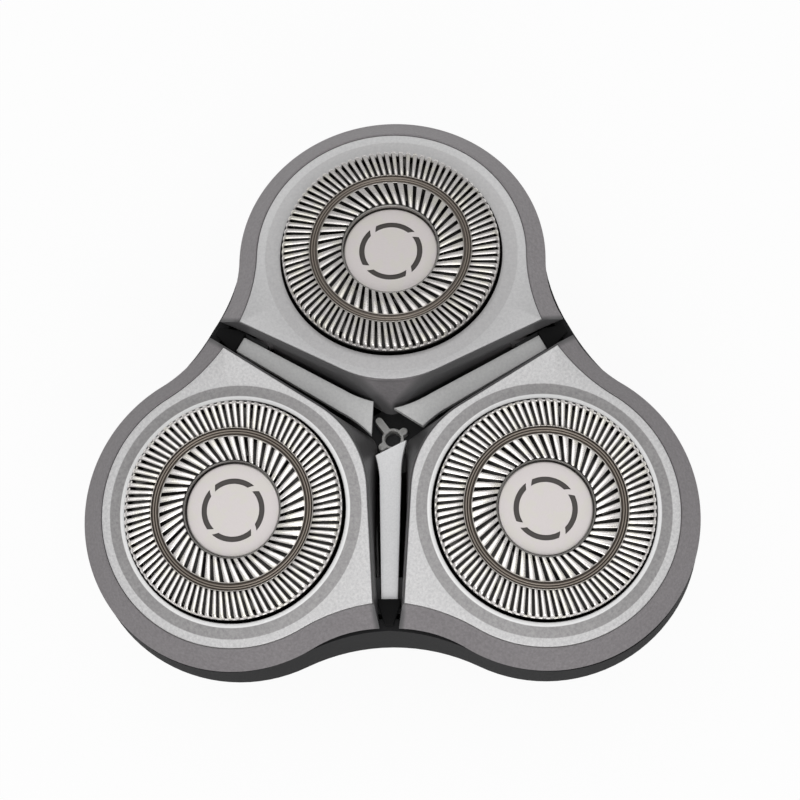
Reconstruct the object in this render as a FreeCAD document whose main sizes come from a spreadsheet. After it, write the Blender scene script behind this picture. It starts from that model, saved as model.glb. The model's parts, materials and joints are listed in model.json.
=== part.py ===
# Three-lobed rotary shaver head: tilting lobes with slotted guard caps on a geared base.
# Millimetres. +Z is up, and the origin is the centre of the coupling collar's mouth.
import FreeCAD, Part
import math
import os
import Sketcher

os.makedirs("parts", exist_ok=True)

LOBES = {1: 90, 2: 210, 3: 330}
GAPS = {1: 30, 2: 150, 3: 270}
LEFT = 1
RIGHT = -1

# Driving sizes: name, value, what it is
SIZES = [
    ("lobe_distance", "17.75", "hub axis to the centre of a cap, at the face"),
    ("lobe_tilt", "8.18", "degrees that a lobe's face leans outwards"),
    ("face_height", "24.0", "height of the face at a cap's centre"),
    ("plate_radius", "13.8", "round outer end of a lobe's top"),
    ("plate_corner_x", "15.35", "half the width of the top at its gap corners"),
    ("plate_flare_radius", "19.0", "hollow curve from the round end to a gap corner"),
    ("plate_gap_angle", "27.0", "degrees from a lobe's cross axis to its gap edge"),
    ("plate_nose_radius", "10.7", "round nose that points at the hub"),
    ("plate_nose_reach", "13.85", "cap centre to the tip of the nose"),
    ("plate_thickness", "0.4", "sheet of the silver face plate"),
    ("plate_margin", "0.15", "holder rim left round the face plate"),
    ("plate_hole_radius", "11.22", "hole that the cap comes through"),
    ("plate_slope_radius", "12.8", "outer edge of the raised ring round the hole"),
    ("plate_lip_radius", "11.6", "inner edge of the raised ring's slope"),
    ("plate_lip_rise", "0.25", "height of the lip round the hole"),
    ("plate_clearance", "0.05", "gap round the face plate in its recess"),
    ("skirt_drop", "1.9", "depth of the sloped skirt"),
    ("skirt_radius", "15.6", "round outer end of the skirt's lower edge"),
    ("skirt_centre_y", "0.35", "how far that round is ahead of the cap's centre"),
    ("skirt_corner_x", "17.37", "half the width of the lower edge at its corners"),
    ("skirt_corner_y", "6.42", "how far those corners are behind the cap's centre"),
    ("skirt_flare_radius", "13.3", "hollow curve of the lower edge"),
    ("skirt_wall", "0.9", "wall of the skirt and top of the holder"),
    ("nose_depth", "7.0", "depth of the holder's nose block"),
    ("nose_inset", "0.25", "step in from the top's edge to the nose block"),
    ("nose_half_width", "12.0", "half the width of the nose block"),
    ("keel_top", "0.5", "depth at which the sloped keel under the nose starts"),
    ("keel_depth", "5.6", "depth of the keel's lower edge"),
    ("keel_gap", "1.45", "middle of a gap to the keel's lower edge"),
    ("keel_tip_radius", "1.4", "round tip of the keel's lower edge"),
    ("nose_back", "3.4", "how far behind the cap's centre the nose block starts"),
    ("cup_radius", "12.95", "outside of the cup round the cap"),
    ("cup_depth", "5.3", "depth of that cup"),
    ("cup_bore_radius", "12.05", "bore in which the cap's flange slides"),
    ("cup_land_radius", "11.4", "hole in the holder's top above the flange"),
    ("ring_bore_radius", "12.3", "bore for the retaining ring"),
    ("ring_seat_depth", "3.4", "depth of the step that the retaining ring sits on"),
    ("ring_thickness", "0.8", "retaining ring"),
    ("ring_inner_radius", "7.6", "opening of the retaining ring"),
    ("ring_clearance", "0.05", "gap round the retaining ring"),
    ("cap_radius", "11.0", "outside of the guard cap"),
    ("cap_wall", "0.3", "sheet of the guard cap"),
    ("cap_top_height", "1.8", "outer shaving track above the face"),
    ("cap_shoulder", "0.35", "bevel at the cap's top edge"),
    ("cap_flange_radius", "11.75", "flange that keeps the cap in"),
    ("cap_flange_thickness", "0.5", "that flange"),
    ("cap_flange_gap", "0.1", "play between the flange and the holder's top"),
    ("groove_outer_radius", "8.1", "groove between the two shaving tracks"),
    ("groove_inner_radius", "7.5", "inner side of that groove"),
    ("groove_depth", "0.15", "that groove"),
    ("inner_track_height", "1.75", "inner shaving track above the face"),
    ("disc_well_radius", "4.8", "well that the cap disc sits in"),
    ("disc_seat_height", "0.44", "height of the disc's seat above the face"),
    ("disc_hole_radius", "3.6", "hole in the middle of the cap"),
    ("outer_slot_count", "90", "slots in the outer track"),
    ("outer_slot_width", "0.3", "one outer slot"),
    ("outer_slot_start", "8.3", "inner end of an outer slot"),
    ("outer_slot_end", "10.6", "outer end of an outer slot"),
    ("outer_slot_slant", "9.0", "degrees that an outer slot leans from the radius"),
    ("inner_slot_count", "45", "slots in the inner track"),
    ("inner_slot_width", "0.38", "one inner slot"),
    ("inner_slot_start", "5.2", "inner end of an inner slot"),
    ("inner_slot_end", "7.3", "outer end of an inner slot"),
    ("inner_slot_slant", "20.0", "degrees that an inner slot leans from the radius"),
    ("disc_radius", "4.68", "cap disc"),
    ("disc_top_height", "0.94", "top of the cap disc above the face"),
    ("disc_plug_clearance", "0.1", "gap round the disc's plug in the cap's hole"),
    ("disc_pin_radius", "1.2", "pin under the disc that the cutter turns on"),
    ("disc_pin_depth", "0.8", "how far the pin reaches below the face"),
    ("arc_outer_radius", "3.18", "outer side of the four arcs on the disc"),
    ("arc_inner_radius", "2.73", "inner side of those arcs"),
    ("arc_span", "80.0", "degrees that one arc covers"),
    ("arc_lean", "2.5", "degrees that an arc's ends lean"),
    ("arc_start", "52.0", "degrees at which the first arc starts"),
    ("arc_depth", "0.12", "engraving of the arcs"),
    ("blade_count", "9", "blades in each ring of the cutter"),
    ("blade_thickness", "0.5", "one blade"),
    ("blade_gap", "0.05", "running gap under the shaving tracks"),
    ("blade_side_gap", "0.15", "running gap beside the tracks' walls"),
    ("blade_end_inset", "0.15", "step in from the sheet's edge to a blade's end"),
    ("blade_slant", "25.0", "degrees that a blade leans from the radius"),
    ("cutter_sheet", "0.4", "ring that carries the blades"),
    ("cutter_top_height", "0.0", "top of that ring against the face"),
    ("hub_radius", "8.0", "cutter hub's plate"),
    ("hub_plate", "0.7", "thickness of that plate"),
    ("hub_boss_radius", "3.2", "cutter hub's boss"),
    ("hub_boss_depth", "3.4", "how far the boss reaches below the face"),
    ("hub_socket_ceiling", "1.5", "depth of the drive socket's end below the face"),
    ("hub_socket_flats", "3.3", "drive socket in the cutter hub, across flats"),
    ("hub_running_gap", "0.06", "gap round the pin in the cutter hub"),
    ("spindle_flats", "3.5", "hexagonal shank of a drive spindle"),
    ("spindle_slide_gap", "0.05", "gap on each flat in the gear's bore"),
    ("spindle_foot_height", "12.0", "bottom of the spindle"),
    ("spindle_neck_height", "17.0", "where the shank ends and the neck starts"),
    ("spindle_neck_radius", "0.95", "neck of the spindle"),
    ("spindle_head_height", "20.5", "bottom of the spindle's head"),
    ("spindle_tip_height", "21.75", "top of the spindle's head"),
    ("spindle_head_flats", "2.4", "head of the spindle, across flats"),
    ("spring_wire_radius", "0.2", "half the diagonal of a spindle spring's square wire"),
    ("spring_coil_radius", "1.45", "coil of a spindle spring, to the wire's centre"),
    ("spring_turns", "3.0", "turns of a spindle spring"),
    ("spring_end_gap", "0.05", "play at each end of the spring"),
    ("gear_module", "0.7", "tooth size"),
    ("gear_pressure_angle", "20.0", "degrees"),
    ("gear_backlash", "0.05", "taken off each tooth at the pitch circle"),
    ("central_teeth", "30", "central gear"),
    ("drive_teeth", "20", "each drive gear"),
    ("gear_bottom_height", "8.0", "underside of the gears"),
    ("gear_width", "2.5", "width of the teeth"),
    ("central_hub_radius", "3.0", "central gear's hub in the floor's bearing"),
    ("central_hub_bottom", "6.4", "lower end of that hub"),
    ("central_stub_radius", "2.0", "upper stub in the gear cover"),
    ("socket_flats", "4.0", "drive socket in the central gear, across flats"),
    ("socket_depth", "3.4", "that socket"),
    ("drive_stub_radius", "1.6", "lower stub of a drive gear"),
    ("drive_tube_radius", "2.9", "upper tube of a drive gear"),
    ("drive_tube_height", "14.2", "top of that tube"),
    ("drive_bore_bottom", "9.0", "bottom of the hexagonal bore"),
    ("running_gap", "0.05", "radial gap of every shaft in its bearing"),
    ("rim_reach", "15.4", "base wall's radius about a lobe's centre"),
    ("rim_waist", "20.75", "base wall's distance from the hub axis at a gap"),
    ("rim_bottom_height", "14.6", "lower edge of the upright base wall"),
    ("rim_gap", "0.35", "gap under the skirt when the lobe is fully tilted"),
    ("tilt_outwards", "3.0", "degrees that a lobe can tilt outwards"),
    ("pan_inset", "5.0", "how far the bowl draws in from its upright wall to its floor"),
    ("pan_bottom_height", "6.2", "underside of the floor"),
    ("base_wall", "1.2", "wall of the base"),
    ("collar_radius", "12.0", "outside of the coupling collar"),
    ("collar_bore_radius", "10.0", "bore of the coupling collar"),
    ("notch_width", "3.0", "catch notch in the collar"),
    ("notch_height", "1.6", "that notch"),
    ("notch_bottom_height", "2.0", "bottom of that notch"),
    ("cover_bottom_height", "11.3", "underside of the gear cover"),
    ("cover_thickness", "1.0", "gear cover"),
    ("cover_gap", "0.4", "gap between the cover and the base"),
    ("boss_distance", "13.2", "hub axis to a screw"),
    ("boss_angle", "22.0", "degrees from a gap to its screw"),
    ("bearing_wall", "1.2", "wall round the lower gear bearings"),
    ("boss_radius", "1.7", "screw boss"),
    ("screw_radius", "0.8", "screw shank"),
    ("screw_head_radius", "1.4", "screw head"),
    ("screw_head_height", "0.8", "screw head"),
    ("screw_length", "3.2", "screw shank under the head"),
    ("screw_slot", "0.4", "slot in the screw head"),
    ("seal_radius", "5.4", "shaft seal"),
    ("seal_thickness", "0.9", "shaft seal"),
    ("hinge_radius", "18.7", "hub axis to the point where two hinge lines meet"),
    ("hinge_height", "20.8", "height of the hinge lines"),
    ("hinge_pin_radius", "0.6", "stub pin of a holder"),
    ("hinge_pin_setback", "1.35", "pin's end to the point where two hinge lines meet"),
    ("hinge_bore_depth", "0.1", "bore beyond the pin's end"),
    ("post_start", "15.2", "inner side of a hinge post"),
    ("post_end", "18.9", "outer side of a hinge post"),
    ("post_width", "2.8", "hinge post"),
    ("post_bottom_height", "15.8", "underside of a hinge post"),
    ("deck_height", "22.05", "top of the ribs and posts, under the cover strips"),
    ("rib_width", "1.4", "rib of the carrier frame"),
    ("rib_start", "5.0", "inner end of a rib's high part"),
    ("rib_end", "14.0", "outer end of a rib's foot on the gear cover"),
    ("carrier_hub_height", "17.2", "top of the carrier frame's hub"),
    ("carrier_hub_radius", "3.4", "hub of the carrier frame"),
    ("peg_distance", "9.5", "hub axis to a locating peg"),
    ("peg_radius", "0.9", "locating peg under a rib"),
    ("peg_length", "0.8", "locating peg"),
    ("block_start", "17.65", "inner face of a hinge block"),
    ("block_shoulder", "18.3", "where a hinge block starts to narrow"),
    ("block_end", "20.3", "outer end of a hinge block"),
    ("block_width", "2.3", "hinge block"),
    ("block_tip_width", "0.9", "outer end of a hinge block"),
    ("block_top_height", "23.4", "top of a hinge block"),
    ("block_overhang_height", "22.95", "underside of a hinge block beyond its post"),
    ("strip_thickness", "0.85", "cover strip"),
    ("strip_end", "17.6", "outer end of a strip"),
    ("strip_end_width", "1.64", "strip at its outer end"),
    ("strip_bend", "5.2", "where the strip starts to widen"),
    ("strip_bend_width", "2.16", "strip at that place"),
    ("strip_curve_radius", "12.0", "hollow sides of the widening"),
    ("strip_near_x", "1.3", "inner corner nearer to the hub"),
    ("strip_near_y", "1.6", "how far that corner is to the left"),
    ("strip_far_x", "2.9", "inner corner further from the hub"),
    ("strip_far_y", "1.5", "how far that corner is to the right"),
    ("star_radius", "1.15", "hub of the centre star"),
    ("star_hole_radius", "0.82", "hole in the centre star"),
    ("star_arm_width", "0.75", "arm of the centre star"),
    ("star_arm_reach", "2.75", "end of an arm"),
    ("star_turn", "36.6", "degrees from the X axis to the first arm"),
    ("star_thickness", "1.2", "centre star"),
    ("leaf_start", "21.6", "inner end of a lobe spring's foot"),
    ("leaf_foot", "2.0", "length of that foot"),
    ("leaf_end", "30.0", "outer end of a lobe spring"),
    ("leaf_tip_height", "16.6", "top of the spring's tip"),
    ("leaf_thickness", "0.3", "spring strip"),
    ("leaf_width", "4.0", "spring strip"),
]

doc = FreeCAD.newDocument("ShaverHead")
sheet = doc.addObject("Spreadsheet::Sheet", "Sizes")
for row, (alias, number, meaning) in enumerate(SIZES, start=1):
    sheet.set(f"A{row}", alias)
    sheet.set(f"B{row}", number)
    sheet.set(f"C{row}", meaning)
    sheet.setAlias(f"B{row}", alias)
doc.recompute()

# Lengths and angles that follow from the driving sizes
worked = doc.addObject("App::VarSet", "Worked")


def work_out(name, formula):
    """Adds a worked-out number and ties it to its formula."""
    worked.addProperty("App::PropertyFloat", name)
    worked.setExpression(name, formula)
    worked.recompute()
    return f"Worked.{name}"


def value(formula):
    """The number that a formula comes to."""
    return float(worked.evalExpression(formula))


def new_body(label, placement=None):
    """A piece of its own, with its placement tied to a formula."""
    body = doc.addObject("PartDesign::Body", label)
    body.Label = label
    if placement:
        body.setExpression("Placement", placement)
    return body


def origin_feature(body, role):
    return next(feature for feature in body.Origin.OriginFeatures if feature.Role == role)


def new_sketch(body, name, role="XY_Plane", height="0"):
    """A sketch on one of the body's own planes, lifted off it by a formula."""
    sketch = body.newObject("Sketcher::SketchObject", name)
    sketch.AttachmentSupport = [(origin_feature(body, role), "")]
    sketch.MapMode = "FlatFace"
    sketch.setExpression("AttachmentOffset.Base.z", height)
    return sketch


def tie(sketch, kind, *where, formula):
    """Adds a constraint whose size follows a formula."""
    index = sketch.addConstraint(Sketcher.Constraint(kind, *where, value(formula)))
    sketch.setExpression(f"Constraints[{index}]", formula)


def arc_between(start, end, radius, side):
    """The shorter arc from start to end, which turns left or right."""
    chord = end - start
    middle = (start + end) * 0.5
    rise = math.sqrt(max(radius ** 2 - (chord.Length / 2) ** 2, 0))
    normal = FreeCAD.Vector(-chord.y, chord.x, 0).normalize()
    centre = middle + normal * (rise * side)
    first, last = (start, end) if side == LEFT else (end, start)
    angles = [math.atan2(point.y - centre.y, point.x - centre.x) for point in (first, last)]
    circle = Part.Circle(centre, FreeCAD.Vector(0, 0, 1), radius)
    return Part.ArcOfCircle(circle, angles[0], angles[1])


def draw(sketch, corners):
    """Draws a closed outline and ties each corner to its formulas.

    A corner is (x, y), or (x, y, radius, side) where an arc leaves it.
    """
    points = [FreeCAD.Vector(value(corner[0]), value(corner[1]), 0) for corner in corners]
    edges = []
    for index, corner in enumerate(corners):
        start = points[index]
        end = points[(index + 1) % len(points)]
        if len(corner) == 4:
            geometry = sketch.addGeometry(arc_between(start, end, value(corner[2]), corner[3]), False)
            edges.append((geometry, 1, 2) if corner[3] == LEFT else (geometry, 2, 1))
        else:
            edges.append((sketch.addGeometry(Part.LineSegment(start, end), False), 1, 2))
    for index, corner in enumerate(corners):
        geometry, first, last = edges[index]
        following = edges[(index + 1) % len(edges)]
        sketch.addConstraint(Sketcher.Constraint("Coincident", geometry, last, following[0], following[1]))
        tie(sketch, "DistanceX", geometry, first, formula=corner[0])
        tie(sketch, "DistanceY", geometry, first, formula=corner[1])
        if len(corner) == 4:
            tie(sketch, "Radius", geometry, formula=corner[2])
    return sketch


def draw_circle(sketch, x, y, radius):
    """Draws a circle whose centre and radius follow formulas."""
    centre = FreeCAD.Vector(value(x), value(y), 0)
    circle = Part.Circle(centre, FreeCAD.Vector(0, 0, 1), value(radius))
    geometry = sketch.addGeometry(circle, False)
    tie(sketch, "DistanceX", geometry, 3, formula=x)
    tie(sketch, "DistanceY", geometry, 3, formula=y)
    tie(sketch, "Radius", geometry, formula=radius)
    return sketch


def turned(body, name, corners, kind="PartDesign::Revolution"):
    """Turns a profile of (radius, height) corners about the body's Z axis."""
    profile = draw(new_sketch(body, f"{name}_profile", "XZ_Plane"), corners)
    feature = body.newObject(kind, name)
    feature.Profile = profile
    feature.ReferenceAxis = (profile, ["V_Axis"])
    feature.Angle = 360
    doc.recompute()
    return feature


def raised(body, name, profile, length, down=False, both_ways=False):
    """Pads a sketch along its normal."""
    feature = body.newObject("PartDesign::Pad", name)
    feature.Profile = profile
    feature.setExpression("Length", length)
    feature.Reversed = down
    feature.Midplane = both_ways
    doc.recompute()
    return feature


def cut(body, name, profile, length, up=False, both_ways=False):
    """Pockets a sketch, downwards unless told otherwise."""
    feature = body.newObject("PartDesign::Pocket", name)
    feature.Profile = profile
    feature.setExpression("Length", length)
    feature.Reversed = up
    feature.Midplane = both_ways
    doc.recompute()
    return feature


def round_the_axis(body, name, feature, count):
    """Repeats a feature about the body's Z axis."""
    pattern = body.newObject("PartDesign::PolarPattern", name)
    pattern.Originals = [feature]
    pattern.Axis = (origin_feature(body, "Z_Axis"), [""])
    pattern.Angle = 360
    pattern.setExpression("Occurrences", count)
    body.Tip = pattern
    doc.recompute()
    return pattern


def polar(radius, angle):
    """A corner from a radius and an angle in degrees."""
    return (f"({radius}) * cos({angle})", f"({radius}) * sin({angle})")


def box_corners(x_low, x_high, y_low, y_high):
    return [(x_low, y_low), (x_high, y_low), (x_high, y_high), (x_low, y_high)]


def slanted_box(start, end, width, slant):
    """A box along the X axis, turned about its own centre."""
    middle = f"(({start} + {end}) / 2)"
    half_length = f"(({end} - {start}) / 2)"
    half_width = f"({width} / 2)"
    corners = []
    for along, across in ((-1, -1), (1, -1), (1, 1), (-1, 1)):
        step = f"({along} * {half_length})"
        side = f"({across} * {half_width})"
        x = f"{middle} + {step} * cos({slant}) - {side} * sin({slant})"
        y = f"{step} * sin({slant}) + {side} * cos({slant})"
        corners.append((x, y))
    return corners


def hexagon(flats):
    """Six corners of a hexagon of that size across flats."""
    return [polar(f"{flats} / 2 / cos(30)", str(60 * index)) for index in range(6)]


def lobe_place(angle):
    """Where a lobe's face frame sits: its Z leans outwards, its Y points out along the face."""
    x = f"Sizes.lobe_distance * cos({angle})"
    y = f"Sizes.lobe_distance * sin({angle})"
    return f"placement(vector({x}; {y}; Sizes.face_height); rotation({angle - 90}; 0; -Sizes.lobe_tilt))"


def turned_place(angle):
    return f"placement(vector(0; 0; 0); rotation({angle}; 0; 0))"


def gear_place(angle, height="0"):
    x = f"Worked.gear_distance * cos({angle})"
    y = f"Worked.gear_distance * sin({angle})"
    return f"placement(vector({x}; {y}; {height}); rotation({angle}; 0; 0))"


def spring_place(angle):
    return gear_place(angle, SPRING_BOTTOM)


def leaf_place(angle):
    return turned_place(angle - 90)


def screw_place(gap):
    x, y = polar("Sizes.boss_distance", f"({gap} + Sizes.boss_angle)")
    return f"placement(vector({x}; {y}; {COVER_TOP}); rotation({gap}; 0; 0))"


# Outlines of a lobe's top, in the plane of its face

NOSE_Y = work_out("nose_centre_y", "Sizes.plate_nose_radius - Sizes.plate_nose_reach")
GAP_EDGE = work_out(
    "gap_edge_distance", "Sizes.plate_nose_radius - Worked.nose_centre_y * cos(Sizes.plate_gap_angle)"
)


def gap_edge_y(x, grow):
    """Height of the gap edge at a place across the lobe."""
    return f"(-({GAP_EDGE} + ({grow}) - {x} * sin(Sizes.plate_gap_angle)) / cos(Sizes.plate_gap_angle))"


def nose_foot(grow):
    """Where the gap edge meets the round of the nose."""
    radius = f"(Sizes.plate_nose_radius + ({grow}))"
    x = f"({radius} * sin(Sizes.plate_gap_angle))"
    y = f"({NOSE_Y} - {radius} * cos(Sizes.plate_gap_angle))"
    return x, y, radius


def lobe_top(grow):
    """Outline of a lobe's top, grown outwards all round."""
    radius = f"(Sizes.plate_radius + ({grow}))"
    corner_x = f"(Sizes.plate_corner_x + ({grow}))"
    corner_y = gap_edge_y(corner_x, grow)
    flare = f"(Sizes.plate_flare_radius - ({grow}))"
    foot_x, foot_y, nose = nose_foot(grow)
    return [
        (radius, "0", radius, LEFT),
        ("0", radius, radius, LEFT),
        (f"-{radius}", "0", flare, RIGHT),
        (f"-{corner_x}", corner_y),
        (f"-{foot_x}", foot_y, nose, LEFT),
        (foot_x, foot_y),
        (corner_x, corner_y, flare, RIGHT),
    ]


def skirt_upper(grow):
    """The round part of a lobe's top, closed straight across behind it."""
    radius = f"(Sizes.plate_radius + ({grow}))"
    corner_x = f"(Sizes.plate_corner_x + ({grow}))"
    corner_y = gap_edge_y("Sizes.plate_corner_x", "0")
    flare = f"(Sizes.plate_flare_radius - ({grow}))"
    return [
        (radius, "0", radius, LEFT),
        ("0", radius, radius, LEFT),
        (f"-{radius}", "0", flare, RIGHT),
        (f"-{corner_x}", corner_y),
        (corner_x, corner_y, flare, RIGHT),
    ]


def skirt_lower(grow):
    """The skirt's lower edge, closed straight across behind it."""
    radius = f"(Sizes.skirt_radius + ({grow}))"
    corner_x = f"(Sizes.skirt_corner_x + ({grow}))"
    flare = f"(Sizes.skirt_flare_radius - ({grow}))"
    return [
        (radius, "Sizes.skirt_centre_y", radius, LEFT),
        ("0", f"Sizes.skirt_centre_y + {radius}", radius, LEFT),
        (f"-{radius}", "Sizes.skirt_centre_y", flare, RIGHT),
        (f"-{corner_x}", "-Sizes.skirt_corner_y"),
        (corner_x, "-Sizes.skirt_corner_y", flare, RIGHT),
    ]


# The keel's lower edge runs along the gaps and ends in a round tip near the hub

KEEL_TURN = work_out("keel_turn", "atan(tan(30) / cos(Sizes.lobe_tilt))")
KEEL_BASE = work_out(
    "keel_base",
    "(Sizes.keel_gap - Sizes.lobe_distance * cos(30) + Sizes.keel_depth * cos(30) * sin(Sizes.lobe_tilt))"
    " / (cos(30) * cos(Sizes.lobe_tilt))",
)
KEEL_ROUND_Y = work_out("keel_round_y", f"{KEEL_BASE} + Sizes.keel_tip_radius / cos({KEEL_TURN})")


def keel_upper():
    """Gap edges and nose of a lobe's top, closed straight across behind them."""
    foot_x, foot_y, nose = nose_foot("0")
    side_y = gap_edge_y("Sizes.nose_half_width", "0")
    return [
        ("-Sizes.nose_half_width", side_y),
        (f"-{foot_x}", foot_y, nose, LEFT),
        (foot_x, foot_y),
        ("Sizes.nose_half_width", side_y),
    ]


def keel_lower():
    """Straight sides along the gaps with a round tip between them."""
    side_y = f"({KEEL_BASE} + Sizes.nose_half_width * tan({KEEL_TURN}))"
    tip_x = f"(Sizes.keel_tip_radius * sin({KEEL_TURN}))"
    tip_y = f"({KEEL_ROUND_Y} - Sizes.keel_tip_radius * cos({KEEL_TURN}))"
    return [
        ("-Sizes.nose_half_width", side_y),
        (f"-{tip_x}", tip_y, "Sizes.keel_tip_radius", LEFT),
        (tip_x, tip_y),
        ("Sizes.nose_half_width", side_y),
    ]


# Outlines of the base: three rounds about the lobes, blended by hollow curves at the gaps

HALF_DISTANCE = work_out("half_distance", "Sizes.lobe_distance * cos(60)")
SIDE_DISTANCE = work_out("side_distance", "Sizes.lobe_distance * sin(60)")


def trefoil(name, reach, waist):
    """Three-lobed outline from its radius about the lobes and its distance at the gaps."""
    inset = f"({waist} - {HALF_DISTANCE})"
    blend = work_out(
        f"{name}_blend",
        f"({inset}^2 + {SIDE_DISTANCE}^2 - ({reach})^2) / (2 * ({reach} - {inset}))",
    )
    share = f"({reach}) / ({reach} + {blend})"
    touch_x = work_out(f"{name}_touch_x", f"{HALF_DISTANCE} + ({inset} + {blend}) * {share}")
    touch_y = work_out(f"{name}_touch_y", f"{SIDE_DISTANCE} * (1 - {share})")
    corners = []
    for gap in GAPS.values():
        corners.append(
            (
                f"{touch_x} * cos({gap}) + {touch_y} * sin({gap})",
                f"{touch_x} * sin({gap}) - {touch_y} * cos({gap})",
                blend,
                RIGHT,
            )
        )
        corners.append(
            (
                f"{touch_x} * cos({gap}) - {touch_y} * sin({gap})",
                f"{touch_x} * sin({gap}) + {touch_y} * cos({gap})",
                f"{reach}",
                LEFT,
            )
        )
        tip = polar(f"Sizes.lobe_distance + {reach}", str(gap + 60))
        corners.append((tip[0], tip[1], f"{reach}", LEFT))
    return corners


# Hinge lines of the lobes, in a lobe's face frame

HINGE_OUT = work_out("hinge_out", "Sizes.hinge_radius * cos(60) - Sizes.lobe_distance")
HINGE_UP = work_out("hinge_up", "Sizes.hinge_height - Sizes.face_height")
HINGE_Y = work_out("hinge_y", f"{HINGE_OUT} * cos(Sizes.lobe_tilt) - {HINGE_UP} * sin(Sizes.lobe_tilt)")
HINGE_Z = work_out("hinge_z", f"{HINGE_OUT} * sin(Sizes.lobe_tilt) + {HINGE_UP} * cos(Sizes.lobe_tilt)")
PIN_END = work_out("pin_end", "Sizes.hinge_radius * sin(60) - Sizes.hinge_pin_setback")

# Gear train

GEAR_DISTANCE = work_out(
    "gear_distance",
    "Sizes.gear_module * (Sizes.central_teeth + Sizes.drive_teeth) / 2",
)
GEAR_TOP = work_out("gear_top", "Sizes.gear_bottom_height + Sizes.gear_width")
COVER_TOP = work_out("cover_top", "Sizes.cover_bottom_height + Sizes.cover_thickness")
FLOOR_TOP = work_out("floor_top", "Sizes.pan_bottom_height + Sizes.base_wall")
SPRING_ENDS = "(Sizes.spring_end_gap + Sizes.spring_wire_radius)"
SPRING_BOTTOM = work_out("spring_bottom", f"Sizes.drive_bore_bottom + {SPRING_ENDS}")
SPRING_HEIGHT = work_out(
    "spring_height",
    f"Sizes.spindle_foot_height - {SPRING_ENDS} - Worked.spring_bottom",
)
STUB_SEAT = work_out("stub_seat", "Sizes.pan_bottom_height + Sizes.base_wall / 2")


def involute(angle):
    """Involute function of an angle in degrees, in degrees."""
    return f"(tan({angle}) * 180 / pi - ({angle}))"


def tooth_space(name, teeth):
    """Outline of the space between two teeth, centred on the X axis."""
    pitch = f"(Sizes.gear_module * {teeth} / 2)"
    base = f"({pitch} * cos(Sizes.gear_pressure_angle))"
    tip = work_out(f"{name}_tip_radius", f"{pitch} + Sizes.gear_module")
    root = work_out(f"{name}_root_radius", f"{pitch} - 1.25 * Sizes.gear_module")
    thinning = f"(Sizes.gear_backlash / 2 / {pitch} * 180 / pi)"
    half_tooth = f"(90 / {teeth} + {involute('Sizes.gear_pressure_angle')} - {thinning})"
    tip_angle = work_out(f"{name}_tip_angle", f"acos({base} / {tip})")
    tip_space = work_out(f"{name}_tip_space", f"180 / {teeth} - {half_tooth} + {involute(tip_angle)}")
    root_space = work_out(f"{name}_root_space", f"180 / {teeth} - {half_tooth}")
    beyond = f"({tip} + Sizes.gear_module / 2)"
    return [
        polar(root, f"-{root_space}"),
        polar(tip, f"-{tip_space}"),
        polar(beyond, f"-{tip_space}"),
        polar(beyond, tip_space),
        polar(tip, tip_space),
        polar(root, root_space),
    ]


SPACES = {
    "central": tooth_space("central", "Sizes.central_teeth"),
    "drive": tooth_space("drive", "Sizes.drive_teeth"),
}


def cut_teeth(body, name):
    """Cuts the tooth spaces of a gear."""
    profile = draw(new_sketch(body, "space_profile", height=GEAR_TOP), SPACES[name])
    space = cut(body, "space", profile, "Sizes.gear_width")
    return round_the_axis(body, "spaces", space, f"Sizes.{name}_teeth")


# Pieces of a lobe

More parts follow.
